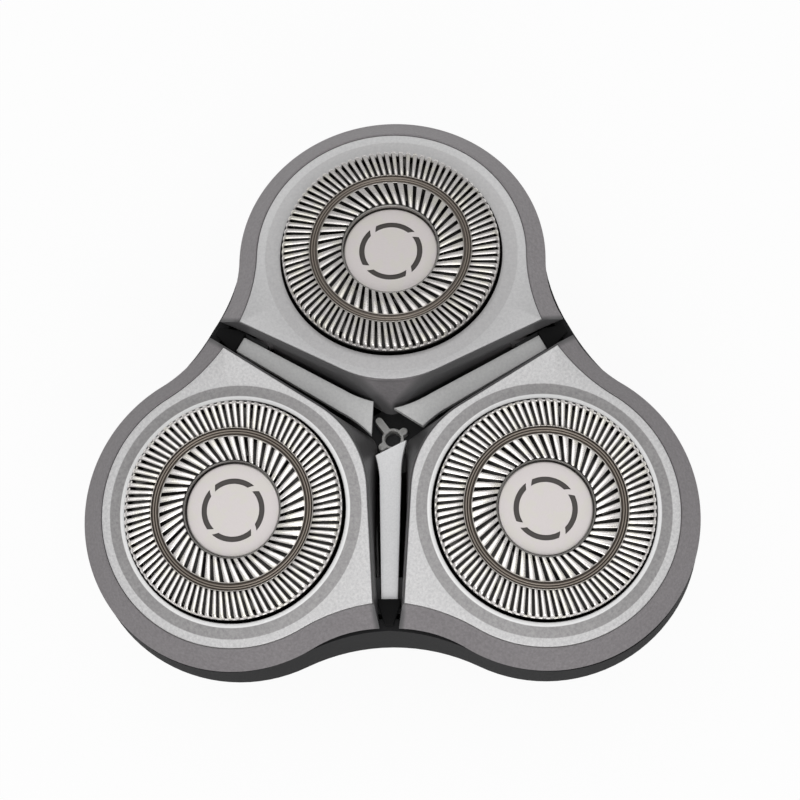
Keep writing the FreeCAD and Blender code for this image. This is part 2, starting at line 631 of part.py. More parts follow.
def holder(label, placement):
    """Moulded carrier of one cap: skirt, cup, nose block and two stub pins."""
    body = new_body(label, placement)
    upper = draw(new_sketch(body, "skirt_top"), skirt_upper("0"))
    lower = draw(new_sketch(body, "skirt_edge", height="-Sizes.skirt_drop"), skirt_lower("0"))
    skirt = body.newObject("PartDesign::AdditiveLoft", "skirt")
    skirt.Profile = upper
    skirt.Sections = [lower]
    skirt.Ruled = True
    doc.recompute()
    raised(body, "top", draw(new_sketch(body, "top_outline"), lobe_top("0")), "Sizes.skirt_drop", down=True)
    hollow_top = new_sketch(body, "hollow_top", height="-Sizes.skirt_wall")
    draw(hollow_top, skirt_upper("-Sizes.skirt_wall"))
    hollow_edge = new_sketch(body, "hollow_edge", height="-Sizes.skirt_drop")
    draw(hollow_edge, skirt_lower("-Sizes.skirt_wall"))
    hollow = body.newObject("PartDesign::SubtractiveLoft", "hollow")
    hollow.Profile = hollow_top
    hollow.Sections = [hollow_edge]
    hollow.Ruled = True
    doc.recompute()
    cup = new_sketch(body, "cup_outline", height="-Sizes.skirt_wall / 2")
    draw_circle(cup, "0", "0", "Sizes.cup_radius")
    raised(body, "cup", cup, "Sizes.cup_depth - Sizes.skirt_wall / 2", down=True)
    grow = "-Sizes.nose_inset"
    foot_x, foot_y, nose = nose_foot(grow)
    side_y = gap_edge_y("Sizes.nose_half_width", grow)
    nose_corners = [
        ("Sizes.nose_half_width", "-Sizes.nose_back"),
        ("-Sizes.nose_half_width", "-Sizes.nose_back"),
        ("-Sizes.nose_half_width", side_y),
        (f"-{foot_x}", foot_y, nose, LEFT),
        (foot_x, foot_y),
        ("Sizes.nose_half_width", side_y),
    ]
    block = draw(new_sketch(body, "nose_outline", height="-Sizes.skirt_wall / 2"), nose_corners)
    raised(body, "nose_block", block, "Sizes.nose_depth - Sizes.skirt_wall / 2", down=True)
    keel_edge = draw(new_sketch(body, "keel_edge", height="-Sizes.keel_depth"), keel_lower())
    keel = body.newObject("PartDesign::AdditiveLoft", "keel")
    keel.Profile = draw(new_sketch(body, "keel_outline", height="-Sizes.keel_top"), keel_upper())
    keel.Sections = [keel_edge]
    keel.Ruled = True
    doc.recompute()
    pins = new_sketch(body, "pin_outline", "YZ_Plane")
    draw_circle(pins, HINGE_Y, HINGE_Z, "Sizes.hinge_pin_radius")
    raised(body, "pins", pins, f"2 * {PIN_END}", both_ways=True)
    bore = [
        ("0", "1"),
        ("Sizes.cup_land_radius", "1"),
        ("Sizes.cup_land_radius", "-Sizes.skirt_wall"),
        ("Sizes.cup_bore_radius", "-Sizes.skirt_wall"),
        ("Sizes.cup_bore_radius", "-Sizes.ring_seat_depth"),
        ("Sizes.ring_bore_radius", "-Sizes.ring_seat_depth"),
        ("Sizes.ring_bore_radius", "-Sizes.nose_depth - 1"),
        ("0", "-Sizes.nose_depth - 1"),
    ]
    turned(body, "bore", bore, "PartDesign::Groove")
    recess = new_sketch(body, "recess_outline")
    draw(recess, lobe_top("Sizes.plate_clearance - Sizes.plate_margin"))
    cut(body, "recess", recess, "Sizes.plate_thickness")
    return body


def face_plate(label, placement):
    """Silver plate set in the holder's top, with a raised ring round the cap's hole."""
    body = new_body(label, placement)
    outline = draw(new_sketch(body, "plate_outline"), lobe_top("-Sizes.plate_margin"))
    raised(body, "sheet", outline, "Sizes.plate_thickness", down=True)
    ring = [
        ("Sizes.plate_hole_radius", "-Sizes.plate_thickness / 2"),
        ("Sizes.plate_slope_radius", "-Sizes.plate_thickness / 2"),
        ("Sizes.plate_slope_radius", "0"),
        ("Sizes.plate_lip_radius", "Sizes.plate_lip_rise"),
        ("Sizes.plate_hole_radius", "Sizes.plate_lip_rise"),
    ]
    turned(body, "raised_ring", ring)
    hole = new_sketch(body, "hole_outline", height="Sizes.plate_lip_rise")
    draw_circle(hole, "0", "0", "Sizes.plate_hole_radius")
    cut(body, "hole", hole, "Sizes.plate_thickness + Sizes.plate_lip_rise")
    return body


FLANGE_TOP = "(-Sizes.skirt_wall - Sizes.cap_flange_gap)"
FLANGE_BOTTOM = f"({FLANGE_TOP} - Sizes.cap_flange_thickness)"
TRACK_UNDER = "(Sizes.inner_track_height - Sizes.cap_wall)"
GROOVE_FLOOR = "(Sizes.cap_top_height - Sizes.groove_depth)"
DISC_LEDGE_UNDER = "(Sizes.disc_seat_height - Sizes.cap_wall)"


def guard_cap(label, placement):
    """Slotted metal cap: two shaving tracks with a groove between them and a well for the disc."""
    body = new_body(label, placement)
    inner_wall = "(Sizes.cap_radius - Sizes.cap_wall)"
    well_wall = "(Sizes.disc_well_radius + Sizes.cap_wall)"
    profile = [
        (inner_wall, FLANGE_BOTTOM),
        ("Sizes.cap_flange_radius", FLANGE_BOTTOM),
        ("Sizes.cap_flange_radius", FLANGE_TOP),
        ("Sizes.cap_radius", FLANGE_TOP),
        ("Sizes.cap_radius", "Sizes.cap_top_height - Sizes.cap_shoulder"),
        ("Sizes.cap_radius - Sizes.cap_shoulder", "Sizes.cap_top_height"),
        ("Sizes.groove_outer_radius", "Sizes.cap_top_height"),
        ("Sizes.groove_outer_radius", GROOVE_FLOOR),
        ("Sizes.groove_inner_radius", GROOVE_FLOOR),
        ("Sizes.groove_inner_radius", "Sizes.inner_track_height"),
        ("Sizes.disc_well_radius", "Sizes.inner_track_height"),
        ("Sizes.disc_well_radius", "Sizes.disc_seat_height"),
        ("Sizes.disc_hole_radius", "Sizes.disc_seat_height"),
        ("Sizes.disc_hole_radius", DISC_LEDGE_UNDER),
        (well_wall, DISC_LEDGE_UNDER),
        (well_wall, TRACK_UNDER),
        (inner_wall, TRACK_UNDER),
    ]
    turned(body, "shell", profile)
    above = "(Sizes.cap_top_height + Sizes.cap_wall)"
    for track in ("outer", "inner"):
        outline = slanted_box(f"Sizes.{track}_slot_start", f"Sizes.{track}_slot_end",
                              f"Sizes.{track}_slot_width", f"Sizes.{track}_slot_slant")
        profile = draw(new_sketch(body, f"{track}_slot_outline", height=above), outline)
        slot = cut(body, f"{track}_slot", profile, f"{above} - {TRACK_UNDER} + Sizes.blade_gap")
        round_the_axis(body, f"{track}_slots", slot, f"Sizes.{track}_slot_count")
    return body


def cap_disc(lobe, angle):
    """Disc in the middle of a cap, with four engraved arcs on top and a pin below."""
    body = new_body(f"cap_disc_{lobe}", lobe_place(angle))
    plug = "(Sizes.disc_hole_radius - Sizes.disc_plug_clearance)"
    profile = [
        ("0", "-Sizes.disc_pin_depth"),
        ("Sizes.disc_pin_radius", "-Sizes.disc_pin_depth"),
        ("Sizes.disc_pin_radius", DISC_LEDGE_UNDER),
        (plug, DISC_LEDGE_UNDER),
        (plug, "Sizes.disc_seat_height"),
        ("Sizes.disc_radius", "Sizes.disc_seat_height"),
        ("Sizes.disc_radius", "Sizes.disc_top_height"),
        ("0", "Sizes.disc_top_height"),
    ]
    turned(body, "disc", profile)
    # The arcs stand the same way on all three caps, so the lobe's own angle is taken off
    start = f"(Sizes.arc_start - {angle - 90})"
    end = f"({start} + Sizes.arc_span)"
    outer_start = polar("Sizes.arc_outer_radius", f"({start} + Sizes.arc_lean)")
    outer_end = polar("Sizes.arc_outer_radius", f"({end} + Sizes.arc_lean)")
    inner_end = polar("Sizes.arc_inner_radius", f"({end} - Sizes.arc_lean)")
    inner_start = polar("Sizes.arc_inner_radius", f"({start} - Sizes.arc_lean)")
    corners = [
        (*outer_start, "Sizes.arc_outer_radius", LEFT),
        outer_end,
        (*inner_end, "Sizes.arc_inner_radius", RIGHT),
        inner_start,
    ]
    arc = draw(new_sketch(body, "arc_outline", height="Sizes.disc_top_height"), corners)
    round_the_axis(body, "arcs", cut(body, "arc", arc, "Sizes.arc_depth"), "4")
    return body


SHEET_BOTTOM = "(Sizes.cutter_top_height - Sizes.cutter_sheet)"


def cutter_blades(label, placement):
    """Ring with two rings of upright blades that run under the cap's tracks."""
    body = new_body(label, placement)
    inner_start = "(Sizes.disc_well_radius + Sizes.cap_wall + Sizes.blade_side_gap)"
    inner_end = "Sizes.groove_inner_radius"
    outer_start = "Sizes.groove_outer_radius"
    outer_end = "(Sizes.cap_radius - Sizes.cap_wall - Sizes.blade_side_gap)"
    profile = box_corners(inner_start, outer_end, SHEET_BOTTOM, "Sizes.cutter_top_height")
    turned(body, "sheet", profile)
    top = f"{TRACK_UNDER} - Sizes.blade_gap"
    for row, (start, end) in {"inner": (inner_start, inner_end), "outer": (outer_start, outer_end)}.items():
        first = f"({start} + Sizes.blade_end_inset)"
        last = f"({end} - Sizes.blade_end_inset)"
        outline = slanted_box(first, last, "Sizes.blade_thickness", "Sizes.blade_slant")
        profile = draw(new_sketch(body, f"{row}_blade_outline", height=SHEET_BOTTOM), outline)
        blade = raised(body, f"{row}_blade", profile, f"{top} - {SHEET_BOTTOM}")
        round_the_axis(body, f"{row}_blades", blade, "Sizes.blade_count")
    return body


def cutter_hub(label, placement):
    """Plastic hub under the blades, with a bore for the disc's pin and a socket for the spindle."""
    body = new_body(label, placement)
    pin_bore = "(Sizes.disc_pin_radius + Sizes.hub_running_gap)"
    bore_bottom = "(-Sizes.disc_pin_depth - 2 * Sizes.hub_running_gap)"
    profile = [
        ("0", "-Sizes.hub_boss_depth"),
        ("Sizes.hub_boss_radius", "-Sizes.hub_boss_depth"),
        ("Sizes.hub_boss_radius", f"{SHEET_BOTTOM} - Sizes.hub_plate"),
        ("Sizes.hub_radius", f"{SHEET_BOTTOM} - Sizes.hub_plate"),
        ("Sizes.hub_radius", SHEET_BOTTOM),
        ("Sizes.hub_boss_radius", SHEET_BOTTOM),
        ("Sizes.hub_boss_radius", "Sizes.cutter_top_height"),
        (pin_bore, "Sizes.cutter_top_height"),
        (pin_bore, bore_bottom),
        ("0", bore_bottom),
    ]
    turned(body, "hub", profile)
    socket = new_sketch(body, "socket_outline", height="-Sizes.hub_boss_depth")
    draw(socket, hexagon("Sizes.hub_socket_flats"))
    cut(body, "socket", socket, "Sizes.hub_boss_depth - Sizes.hub_socket_ceiling", up=True)
    return body


def retaining_ring(label, placement):
    """Ring that keeps the cutter and the cap in the holder."""
    body = new_body(label, placement)
    outside = "(Sizes.ring_bore_radius - Sizes.ring_clearance)"
    top = "-Sizes.ring_seat_depth"
    bottom = "(-Sizes.ring_seat_depth - Sizes.ring_thickness)"
    turned(body, "ring", box_corners("Sizes.ring_inner_radius", outside, bottom, top))
    notch = new_sketch(body, "grip_outline", height=top)
    draw_circle(notch, "Sizes.ring_inner_radius", "0", "Sizes.ring_thickness")
    round_the_axis(body, "grips", cut(body, "grip", notch, "Sizes.ring_thickness"), "6")
    return body


# Pieces of the drive

def drive_gear(label, placement):
    """Gear under one lobe, with a stub below and a hexagonal tube above."""
    body = new_body(label, placement)
    stub_bottom = f"({STUB_SEAT} + Sizes.running_gap)"
    profile = [
        ("0", stub_bottom),
        ("Sizes.drive_stub_radius", stub_bottom),
        ("Sizes.drive_stub_radius", "Sizes.gear_bottom_height"),
        ("Worked.drive_tip_radius", "Sizes.gear_bottom_height"),
        ("Worked.drive_tip_radius", GEAR_TOP),
        ("Sizes.drive_tube_radius", GEAR_TOP),
        ("Sizes.drive_tube_radius", "Sizes.drive_tube_height"),
        ("0", "Sizes.drive_tube_height"),
    ]
    turned(body, "blank", profile)
    cut_teeth(body, "drive")
    bore = new_sketch(body, "bore_outline", height="Sizes.drive_tube_height")
    draw(bore, hexagon("(Sizes.spindle_flats + 2 * Sizes.spindle_slide_gap)"))
    cut(body, "bore", bore, "Sizes.drive_tube_height - Sizes.drive_bore_bottom")
    return body


def drive_spindle(label, placement):
    """Spindle that slides in the drive gear and turns the cutter."""
    body = new_body(label, placement)
    shank = new_sketch(body, "shank_outline", height="Sizes.spindle_foot_height")
    draw(shank, hexagon("Sizes.spindle_flats"))
    raised(body, "shank", shank, "Sizes.spindle_neck_height - Sizes.spindle_foot_height")
    neck = new_sketch(body, "neck_outline", height="Sizes.spindle_neck_height")
    draw_circle(neck, "0", "0", "Sizes.spindle_neck_radius")
    raised(body, "neck", neck, "Sizes.spindle_head_height - Sizes.spindle_neck_height")
    head = new_sketch(body, "head_outline", height="Sizes.spindle_head_height")
    draw(head, hexagon("Sizes.spindle_head_flats"))
    raised(body, "head", head, "Sizes.spindle_tip_height - Sizes.spindle_head_height")
    return body


def spindle_spring(label, placement):
    """Coil spring of square wire under the spindle, in the drive gear's bore."""
    line = doc.addObject("Part::Helix", "spring_line")
    line.setExpression("Height", SPRING_HEIGHT)
    line.setExpression("Pitch", f"{SPRING_HEIGHT} / Sizes.spring_turns")
    line.setExpression("Radius", "Sizes.spring_coil_radius")
    wire = doc.addObject("Part::RegularPolygon", "spring_wire")
    wire.Polygon = 4
    wire.setExpression("Circumradius", "Sizes.spring_wire_radius")
    wire.setExpression("Placement", "placement(vector(Sizes.spring_coil_radius; 0; 0); rotation(0; 0; 90))")
    doc.recompute()
    spring = doc.addObject("Part::Sweep", label)
    spring.Label = label
    spring.Sections = [wire]
    spring.Spine = (line, ["Edge1"])
    spring.Solid = True
    spring.Frenet = True
    spring.setExpression("Placement", placement)
    doc.recompute()
    return spring


def central_gear():
    """Gear in the middle, with the drive socket in its hub."""
    body = new_body("central_gear")
    profile = [
        ("0", "Sizes.central_hub_bottom"),
        ("Sizes.central_hub_radius", "Sizes.central_hub_bottom"),
        ("Sizes.central_hub_radius", "Sizes.gear_bottom_height"),
        ("Worked.central_tip_radius", "Sizes.gear_bottom_height"),
        ("Worked.central_tip_radius", GEAR_TOP),
        ("Sizes.central_stub_radius", GEAR_TOP),
        ("Sizes.central_stub_radius", f"{COVER_TOP} - Sizes.running_gap"),
        ("0", f"{COVER_TOP} - Sizes.running_gap"),
    ]
    turned(body, "blank", profile)
    cut_teeth(body, "central")
    socket = new_sketch(body, "socket_outline", height="Sizes.central_hub_bottom")
    draw(socket, hexagon("Sizes.socket_flats"))
    cut(body, "socket", socket, "Sizes.socket_depth", up=True)
    return body


# Pieces of the base


def reach_at(height):
    """How far the bowl's outside stands in from its upright wall at a height on its slope."""
    slope = "(Sizes.pan_inset / (Sizes.rim_bottom_height - Sizes.pan_bottom_height))"
    return f"((Sizes.rim_bottom_height - ({height})) * {slope})"


def base_outline(name, inset):
    """The base's trefoil, drawn in by an inset all round."""
    return trefoil(name, f"(Sizes.rim_reach - {inset})", f"(Sizes.rim_waist - {inset})")


def base_bowl():
    """Three-lobed bowl with the coupling collar below and the gear bearings inside."""
    body = new_body("base_bowl")
    bowl_shell(body)
    bowl_rim(body)
    gear_bearings(body)
    coupling_collar(body)
    return body


def bowl_shell(body):
    """Upright wall on a sloping pan, hollow inside."""
    outside = base_outline("outside", "0")
    inside = base_outline("inside", "Sizes.base_wall")
    pan = body.newObject("PartDesign::AdditiveLoft", "pan")
    pan_outline = base_outline("pan", "Sizes.pan_inset")
    pan.Profile = draw(new_sketch(body, "pan_bottom", height="Sizes.pan_bottom_height"), pan_outline)
    pan.Sections = [draw(new_sketch(body, "pan_top", height="Sizes.rim_bottom_height"), outside)]
    pan.Ruled = True
    doc.recompute()
    wall = draw(new_sketch(body, "wall_outline", height="Sizes.rim_bottom_height"), outside)
    raised(body, "wall", wall, "Sizes.face_height - Sizes.rim_bottom_height")
    hollow = body.newObject("PartDesign::SubtractiveLoft", "hollow")
    floor_outline = base_outline("floor", f"({reach_at(FLOOR_TOP)} + Sizes.base_wall)")
    hollow.Profile = draw(new_sketch(body, "hollow_bottom", height=FLOOR_TOP), floor_outline)
    hollow.Sections = [draw(new_sketch(body, "hollow_top", height="Sizes.rim_bottom_height"), inside)]
    hollow.Ruled = True
    doc.recompute()
    opening = draw(new_sketch(body, "opening_outline", height="Sizes.face_height"), inside)
    cut(body, "opening", opening, "Sizes.face_height - Sizes.rim_bottom_height")


def bowl_rim(body):
    """Trims the wall to the skirts' lower edges as they stand when the lobes are fully tilted."""
    lean = "(Sizes.lobe_tilt + Sizes.tilt_outwards)"
    depth = work_out("edge_depth", f"Sizes.skirt_drop + {HINGE_Z}")
    start_out = f"({HINGE_OUT} + Sizes.lobe_distance - {depth} * sin({lean}))"
    start_up = f"(Sizes.hinge_height - {depth} * cos({lean}) - Sizes.rim_gap)"
    near = "-Sizes.rim_waist"
    far = "(Sizes.lobe_distance + 2 * Sizes.rim_reach)"
    corners = [
        (near, f"{start_up} + ({start_out} - {near}) * tan({lean})"),
        (far, f"{start_up} + ({start_out} - {far}) * tan({lean})"),
        (far, "2 * Sizes.face_height"),
        (near, "2 * Sizes.face_height"),
    ]
    above = draw(new_sketch(body, "rim_line", "YZ_Plane"), corners)
    rim = cut(body, "rim", above, "4 * Sizes.rim_waist", both_ways=True)
    round_the_axis(body, "rims", rim, "3")


def gear_bearings(body):
    """Bosses on the floor that carry the gears, and the three screw bosses."""
    seat = "(Sizes.gear_bottom_height - Sizes.running_gap)"
    middle = new_sketch(body, "middle_boss_outline", height="Sizes.pan_bottom_height")
    draw_circle(middle, "0", "0", "Sizes.seal_radius + Sizes.bearing_wall")
    raised(body, "middle_boss", middle, f"{seat} - Sizes.pan_bottom_height")
    stub_bore = "(Sizes.drive_stub_radius + Sizes.running_gap)"
    outer = new_sketch(body, "gear_boss_outline", height=STUB_SEAT)
    draw_circle(outer, "0", GEAR_DISTANCE, f"{stub_bore} + Sizes.bearing_wall")
    round_the_axis(body, "gear_bosses", raised(body, "gear_boss", outer, f"{seat} - {STUB_SEAT}"), "3")
    bore = draw_circle(new_sketch(body, "stub_bore_outline", height=seat), "0", GEAR_DISTANCE, stub_bore)
    round_the_axis(body, "stub_bores", cut(body, "stub_bore", bore, f"{seat} - {STUB_SEAT}"), "3")
    boss = new_sketch(body, "screw_boss_outline", height=STUB_SEAT)
    draw_circle(boss, *polar("Sizes.boss_distance", "(30 + Sizes.boss_angle)"), "Sizes.boss_radius")
    height = f"Sizes.cover_bottom_height - {STUB_SEAT}"
    round_the_axis(body, "screw_bosses", raised(body, "screw_boss", boss, height), "3")
    pilot = new_sketch(body, "pilot_outline", height="Sizes.cover_bottom_height")
    screw_x, screw_y = polar("Sizes.boss_distance", "(30 + Sizes.boss_angle)")
    draw_circle(pilot, screw_x, screw_y, "Sizes.screw_radius + Sizes.running_gap")
    round_the_axis(body, "pilots", cut(body, "pilot", pilot, "Sizes.screw_length"), "3")


def coupling_collar(body):
    """Collar that drops over the razor's neck, with three catch notches, and the hub's bearing."""
    collar = box_corners("Sizes.collar_bore_radius", "Sizes.collar_radius", "0", FLOOR_TOP)
    turned(body, "collar", collar)
    outer = "(Sizes.collar_radius + Sizes.base_wall)"
    half = "Sizes.notch_width / 2"
    outline = box_corners(f"-{half}", half, f"-{outer}", "-(Sizes.collar_bore_radius - Sizes.base_wall)")
    notch = draw(new_sketch(body, "notch_outline", height="Sizes.notch_bottom_height"), outline)
    round_the_axis(body, "notches", cut(body, "notch", notch, "Sizes.notch_height", up=True), "3")
    bottom = "(Sizes.pan_bottom_height - 1)"
    shelf = "(Sizes.pan_bottom_height + Sizes.seal_thickness)"
    bore = "(Sizes.central_hub_radius + Sizes.running_gap)"
    bearing = [
        ("0", bottom),
        ("Sizes.seal_radius", bottom),
        ("Sizes.seal_radius", shelf),
        (bore, shelf),
        (bore, "Sizes.gear_bottom_height"),
        ("0", "Sizes.gear_bottom_height"),
    ]
    turned(body, "bearing", bearing, "PartDesign::Groove")


def shaft_seal():
    """Rubber ring in the floor round the central gear's hub."""
    body = new_body("shaft_seal")
    inside = "(Sizes.central_hub_radius + Sizes.running_gap)"
    outside = "(Sizes.seal_radius - Sizes.running_gap)"
    bottom = "Sizes.pan_bottom_height"
    top = "(Sizes.pan_bottom_height + Sizes.seal_thickness)"
    groove = "(Sizes.seal_thickness / 3)"
    profile = [
        (inside, bottom),
        (f"{inside} + {groove}", bottom),
        (f"{inside} + {groove}", f"{bottom} + {groove}"),
        (f"{outside} - {groove}", f"{bottom} + {groove}"),
        (f"{outside} - {groove}", bottom),
        (outside, bottom),
        (outside, top),
        (inside, top),
    ]
    turned(body, "ring", profile)
    return body


def gear_cover():
    """Plate over the gears, with holes for the gear tubes, the frame's pegs and the screws."""
    body = new_body("gear_cover")
    inset = f"({reach_at('Sizes.cover_bottom_height')} + Sizes.base_wall + Sizes.cover_gap)"
    plate = new_sketch(body, "plate_outline", height="Sizes.cover_bottom_height")
    draw(plate, base_outline("cover", inset))
    raised(body, "plate", plate, "Sizes.cover_thickness")
    holes = {
        "tube": ("0", GEAR_DISTANCE, "Sizes.drive_tube_radius + Sizes.running_gap"),
        "peg": ("0", "-Sizes.peg_distance", "Sizes.peg_radius + Sizes.running_gap"),
        "screw": (
            *polar("Sizes.boss_distance", "(30 + Sizes.boss_angle)"),
            "Sizes.screw_radius + Sizes.running_gap",
        ),
    }
    middle = new_sketch(body, "stub_hole_outline", height=COVER_TOP)
    draw_circle(middle, "0", "0", "Sizes.central_stub_radius + Sizes.running_gap")
    cut(body, "stub_hole", middle, "Sizes.cover_thickness")
    for name, place in holes.items():
        outline = draw_circle(new_sketch(body, f"{name}_hole_outline", height=COVER_TOP), *place)
        hole = cut(body, f"{name}_hole", outline, "Sizes.cover_thickness")
        round_the_axis(body, f"{name}_holes", hole, "3")
    return body


def cover_screw(label, placement):
    """Slotted screw that holds the gear cover to its boss."""
    body = new_body(label, placement)
    profile = [
        ("0", "-Sizes.screw_length"),
        ("Sizes.screw_radius", "-Sizes.screw_length"),
        ("Sizes.screw_radius", "0"),
        ("Sizes.screw_head_radius", "0"),
        ("Sizes.screw_head_radius", "Sizes.screw_head_height"),
        ("0", "Sizes.screw_head_height"),
    ]
    turned(body, "shank", profile)
    half = "Sizes.screw_slot / 2"
    outline = box_corners("-Sizes.screw_head_radius - 1", "Sizes.screw_head_radius + 1", f"-{half}", half)
    slot = draw(new_sketch(body, "slot_outline", height="Sizes.screw_head_height"), outline)
    cut(body, "slot", slot, "Sizes.screw_head_height / 2")
    return body


def carrier_frame():
    """Three ribs on a hub, with the hinge posts at their ends and pegs below."""
    body = new_body("carrier_frame")
    hub = new_sketch(body, "hub_outline", height=COVER_TOP)
    draw_circle(hub, "0", "0", "Sizes.carrier_hub_radius")
    raised(body, "hub", hub, f"Sizes.carrier_hub_height - {COVER_TOP}")
    side = [
        ("0", COVER_TOP),
        ("-Sizes.rib_end", COVER_TOP),
        ("-Sizes.post_start", "Sizes.post_bottom_height"),
        ("-Sizes.post_end", "Sizes.post_bottom_height"),
        ("-Sizes.post_end", "Sizes.deck_height"),
        ("-Sizes.rib_start", "Sizes.deck_height"),
        ("-Sizes.rib_start", "Sizes.carrier_hub_height"),
        ("0", "Sizes.carrier_hub_height"),
    ]
    rib = draw(new_sketch(body, "rib_side", "YZ_Plane"), side)
    round_the_axis(body, "ribs", raised(body, "rib", rib, "Sizes.rib_width", both_ways=True), "3")
    half = "Sizes.post_width / 2"
    outline = box_corners(f"-{half}", half, "-Sizes.post_end", "-Sizes.post_start")
    post = draw(new_sketch(body, "post_outline", height="Sizes.post_bottom_height"), outline)
    height = "Sizes.deck_height - Sizes.post_bottom_height"
    round_the_axis(body, "posts", raised(body, "post", post, height), "3")
    peg = new_sketch(body, "peg_outline", height=COVER_TOP)
    draw_circle(peg, "0", "-Sizes.peg_distance", "Sizes.peg_radius")
    round_the_axis(body, "pegs", raised(body, "peg", peg, "Sizes.peg_length", down=True), "3")
    bore = new_sketch(body, "bore_outline", "YZ_Plane")
    draw_circle(bore, f"{HINGE_OUT} + Sizes.lobe_distance", "Sizes.hinge_height",
                "Sizes.hinge_pin_radius + Sizes.running_gap")
    length = f"2 * ({PIN_END} + Sizes.hinge_bore_depth)"
    round_the_axis(body, "bores", cut(body, "bore", bore, length, both_ways=True), "3")
    return body


def hinge_block(label, placement):
    """Black cap on a hinge post that fills the gap between two lobes' corners."""
    body = new_body(label, placement)
    half = "(Sizes.block_width / 2)"
    tip = "(Sizes.block_tip_width / 2)"
    outline = [
        ("Sizes.block_start", f"-{half}"),
        ("Sizes.block_shoulder", f"-{half}"),
        ("Sizes.block_end", f"-{tip}"),
        ("Sizes.block_end", tip),
        ("Sizes.block_shoulder", half),
        ("Sizes.block_start", half),
    ]
    cap = draw(new_sketch(body, "cap_outline", height="Sizes.block_overhang_height"), outline)
    raised(body, "cap", cap, "Sizes.block_top_height - Sizes.block_overhang_height")
    foot = box_corners("Sizes.block_start", "Sizes.block_shoulder", f"-{half}", half)
    foot = draw(new_sketch(body, "foot_outline", height="Sizes.deck_height"), foot)
    raised(body, "foot", foot, "Sizes.block_overhang_height - Sizes.deck_height")
    return body


def cover_strip(label, placement):
    """Silver strip over a rib, cut slantwise at its inner end."""
    body = new_body(label, placement)
    end = "(Sizes.strip_end_width / 2)"
    bend = "(Sizes.strip_bend_width / 2)"
    outline = [
        ("Sizes.strip_end", f"-{end}"),
        ("Sizes.strip_end", end),
        ("Sizes.strip_bend", bend, "Sizes.strip_curve_radius", RIGHT),
        ("Sizes.strip_near_x", "Sizes.strip_near_y"),
        ("Sizes.strip_far_x", "-Sizes.strip_far_y", "Sizes.strip_curve_radius", RIGHT),
        ("Sizes.strip_bend", f"-{bend}"),
    ]
    strip = draw(new_sketch(body, "strip_outline", height="Sizes.deck_height"), outline)
    raised(body, "strip", strip, "Sizes.strip_thickness")
    return body


def centre_star():
    """Small four-armed button in the middle of the frame."""
    body = new_body("centre_star", turned_place("Sizes.star_turn"))
    hub = new_sketch(body, "hub_outline", height="Sizes.carrier_hub_height")
    draw_circle(hub, "0", "0", "Sizes.star_radius")
    raised(body, "hub", hub, "Sizes.star_thickness")
    half = "Sizes.star_arm_width / 2"
    outline = box_corners("0", "Sizes.star_arm_reach", f"-{half}", half)
    arm = draw(new_sketch(body, "arm_outline", height="Sizes.carrier_hub_height"), outline)
    round_the_axis(body, "arms", raised(body, "arm", arm, "Sizes.star_thickness"), "4")
    hole = new_sketch(body, "hole_outline", height="Sizes.carrier_hub_height + Sizes.star_thickness")
    draw_circle(hole, "0", "0", "Sizes.star_hole_radius")
    cut(body, "hole", hole, "Sizes.star_thickness")
    return body


def lobe_spring(label, placement):
    """Leaf spring on the gear cover that pushes a lobe's outer end up."""
    body = new_body(label, placement)
    bend = "(Sizes.leaf_start + Sizes.leaf_foot)"
    side = [
        ("Sizes.leaf_start", COVER_TOP),
        (bend, COVER_TOP),
        ("Sizes.leaf_end", "Sizes.leaf_tip_height - Sizes.leaf_thickness"),
        ("Sizes.leaf_end", "Sizes.leaf_tip_height"),
        (bend, f"{COVER_TOP} + Sizes.leaf_thickness"),
        ("Sizes.leaf_start", f"{COVER_TOP} + Sizes.leaf_thickness"),
    ]
    leaf = draw(new_sketch(body, "leaf_side", "YZ_Plane"), side)
    raised(body, "leaf", leaf, "Sizes.leaf_width", both_ways=True)
    return body


def three_of(name, make, place, angles):
    """Makes a piece once and links it into its two other places."""
    original = make(f"{name}_1", place(angles[1]))
    pieces = [original]
    for number in (2, 3):
        link = doc.addObject("App::Link", f"{name}_{number}")
        link.Label = f"{name}_{number}"
        link.LinkedObject = original
        link.LinkTransform = False
        link.setExpression("Placement", place(angles[number]))
        pieces.append(link)
    return pieces


def build():
    """Makes every piece and returns them in a list."""
    pieces = [base_bowl(), shaft_seal(), gear_cover(), central_gear(), carrier_frame(), centre_star()]
    pieces += three_of("cover_screw", cover_screw, screw_place, GAPS)
    pieces += three_of("cover_strip", cover_strip, turned_place, GAPS)
    pieces += three_of("hinge_block", hinge_block, turned_place, GAPS)
    pieces += three_of("drive_gear", drive_gear, gear_place, LOBES)
    pieces += three_of("spindle_spring", spindle_spring, spring_place, LOBES)
    pieces += three_of("drive_spindle", drive_spindle, gear_place, LOBES)
    pieces += three_of("lobe_spring", lobe_spring, leaf_place, LOBES)
    for make in (holder, face_plate, retaining_ring, guard_cap, cutter_blades, cutter_hub):
        pieces += three_of(make.__name__, make, lobe_place, LOBES)
    pieces += [cap_disc(lobe, angle) for lobe, angle in LOBES.items()]
    return pieces


def main():
    pieces = build()
    doc.recompute()
    failed = [item.Label for item in doc.Objects if {"Invalid", "Error"} & set(item.State)]
    if failed:
        raise RuntimeError(f"these objects did not recompute: {failed}")
    for piece in pieces:
        shape = Part.getShape(piece)
        if shape.isNull() or not shape.isValid():
            raise RuntimeError(f"{piece.Label} has no valid shape")
        shape.exportStep(f"parts/{piece.Label}.step")


main()
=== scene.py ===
import json
import math

import bmesh
import bpy
import numpy as np
from mathutils import Matrix, Vector


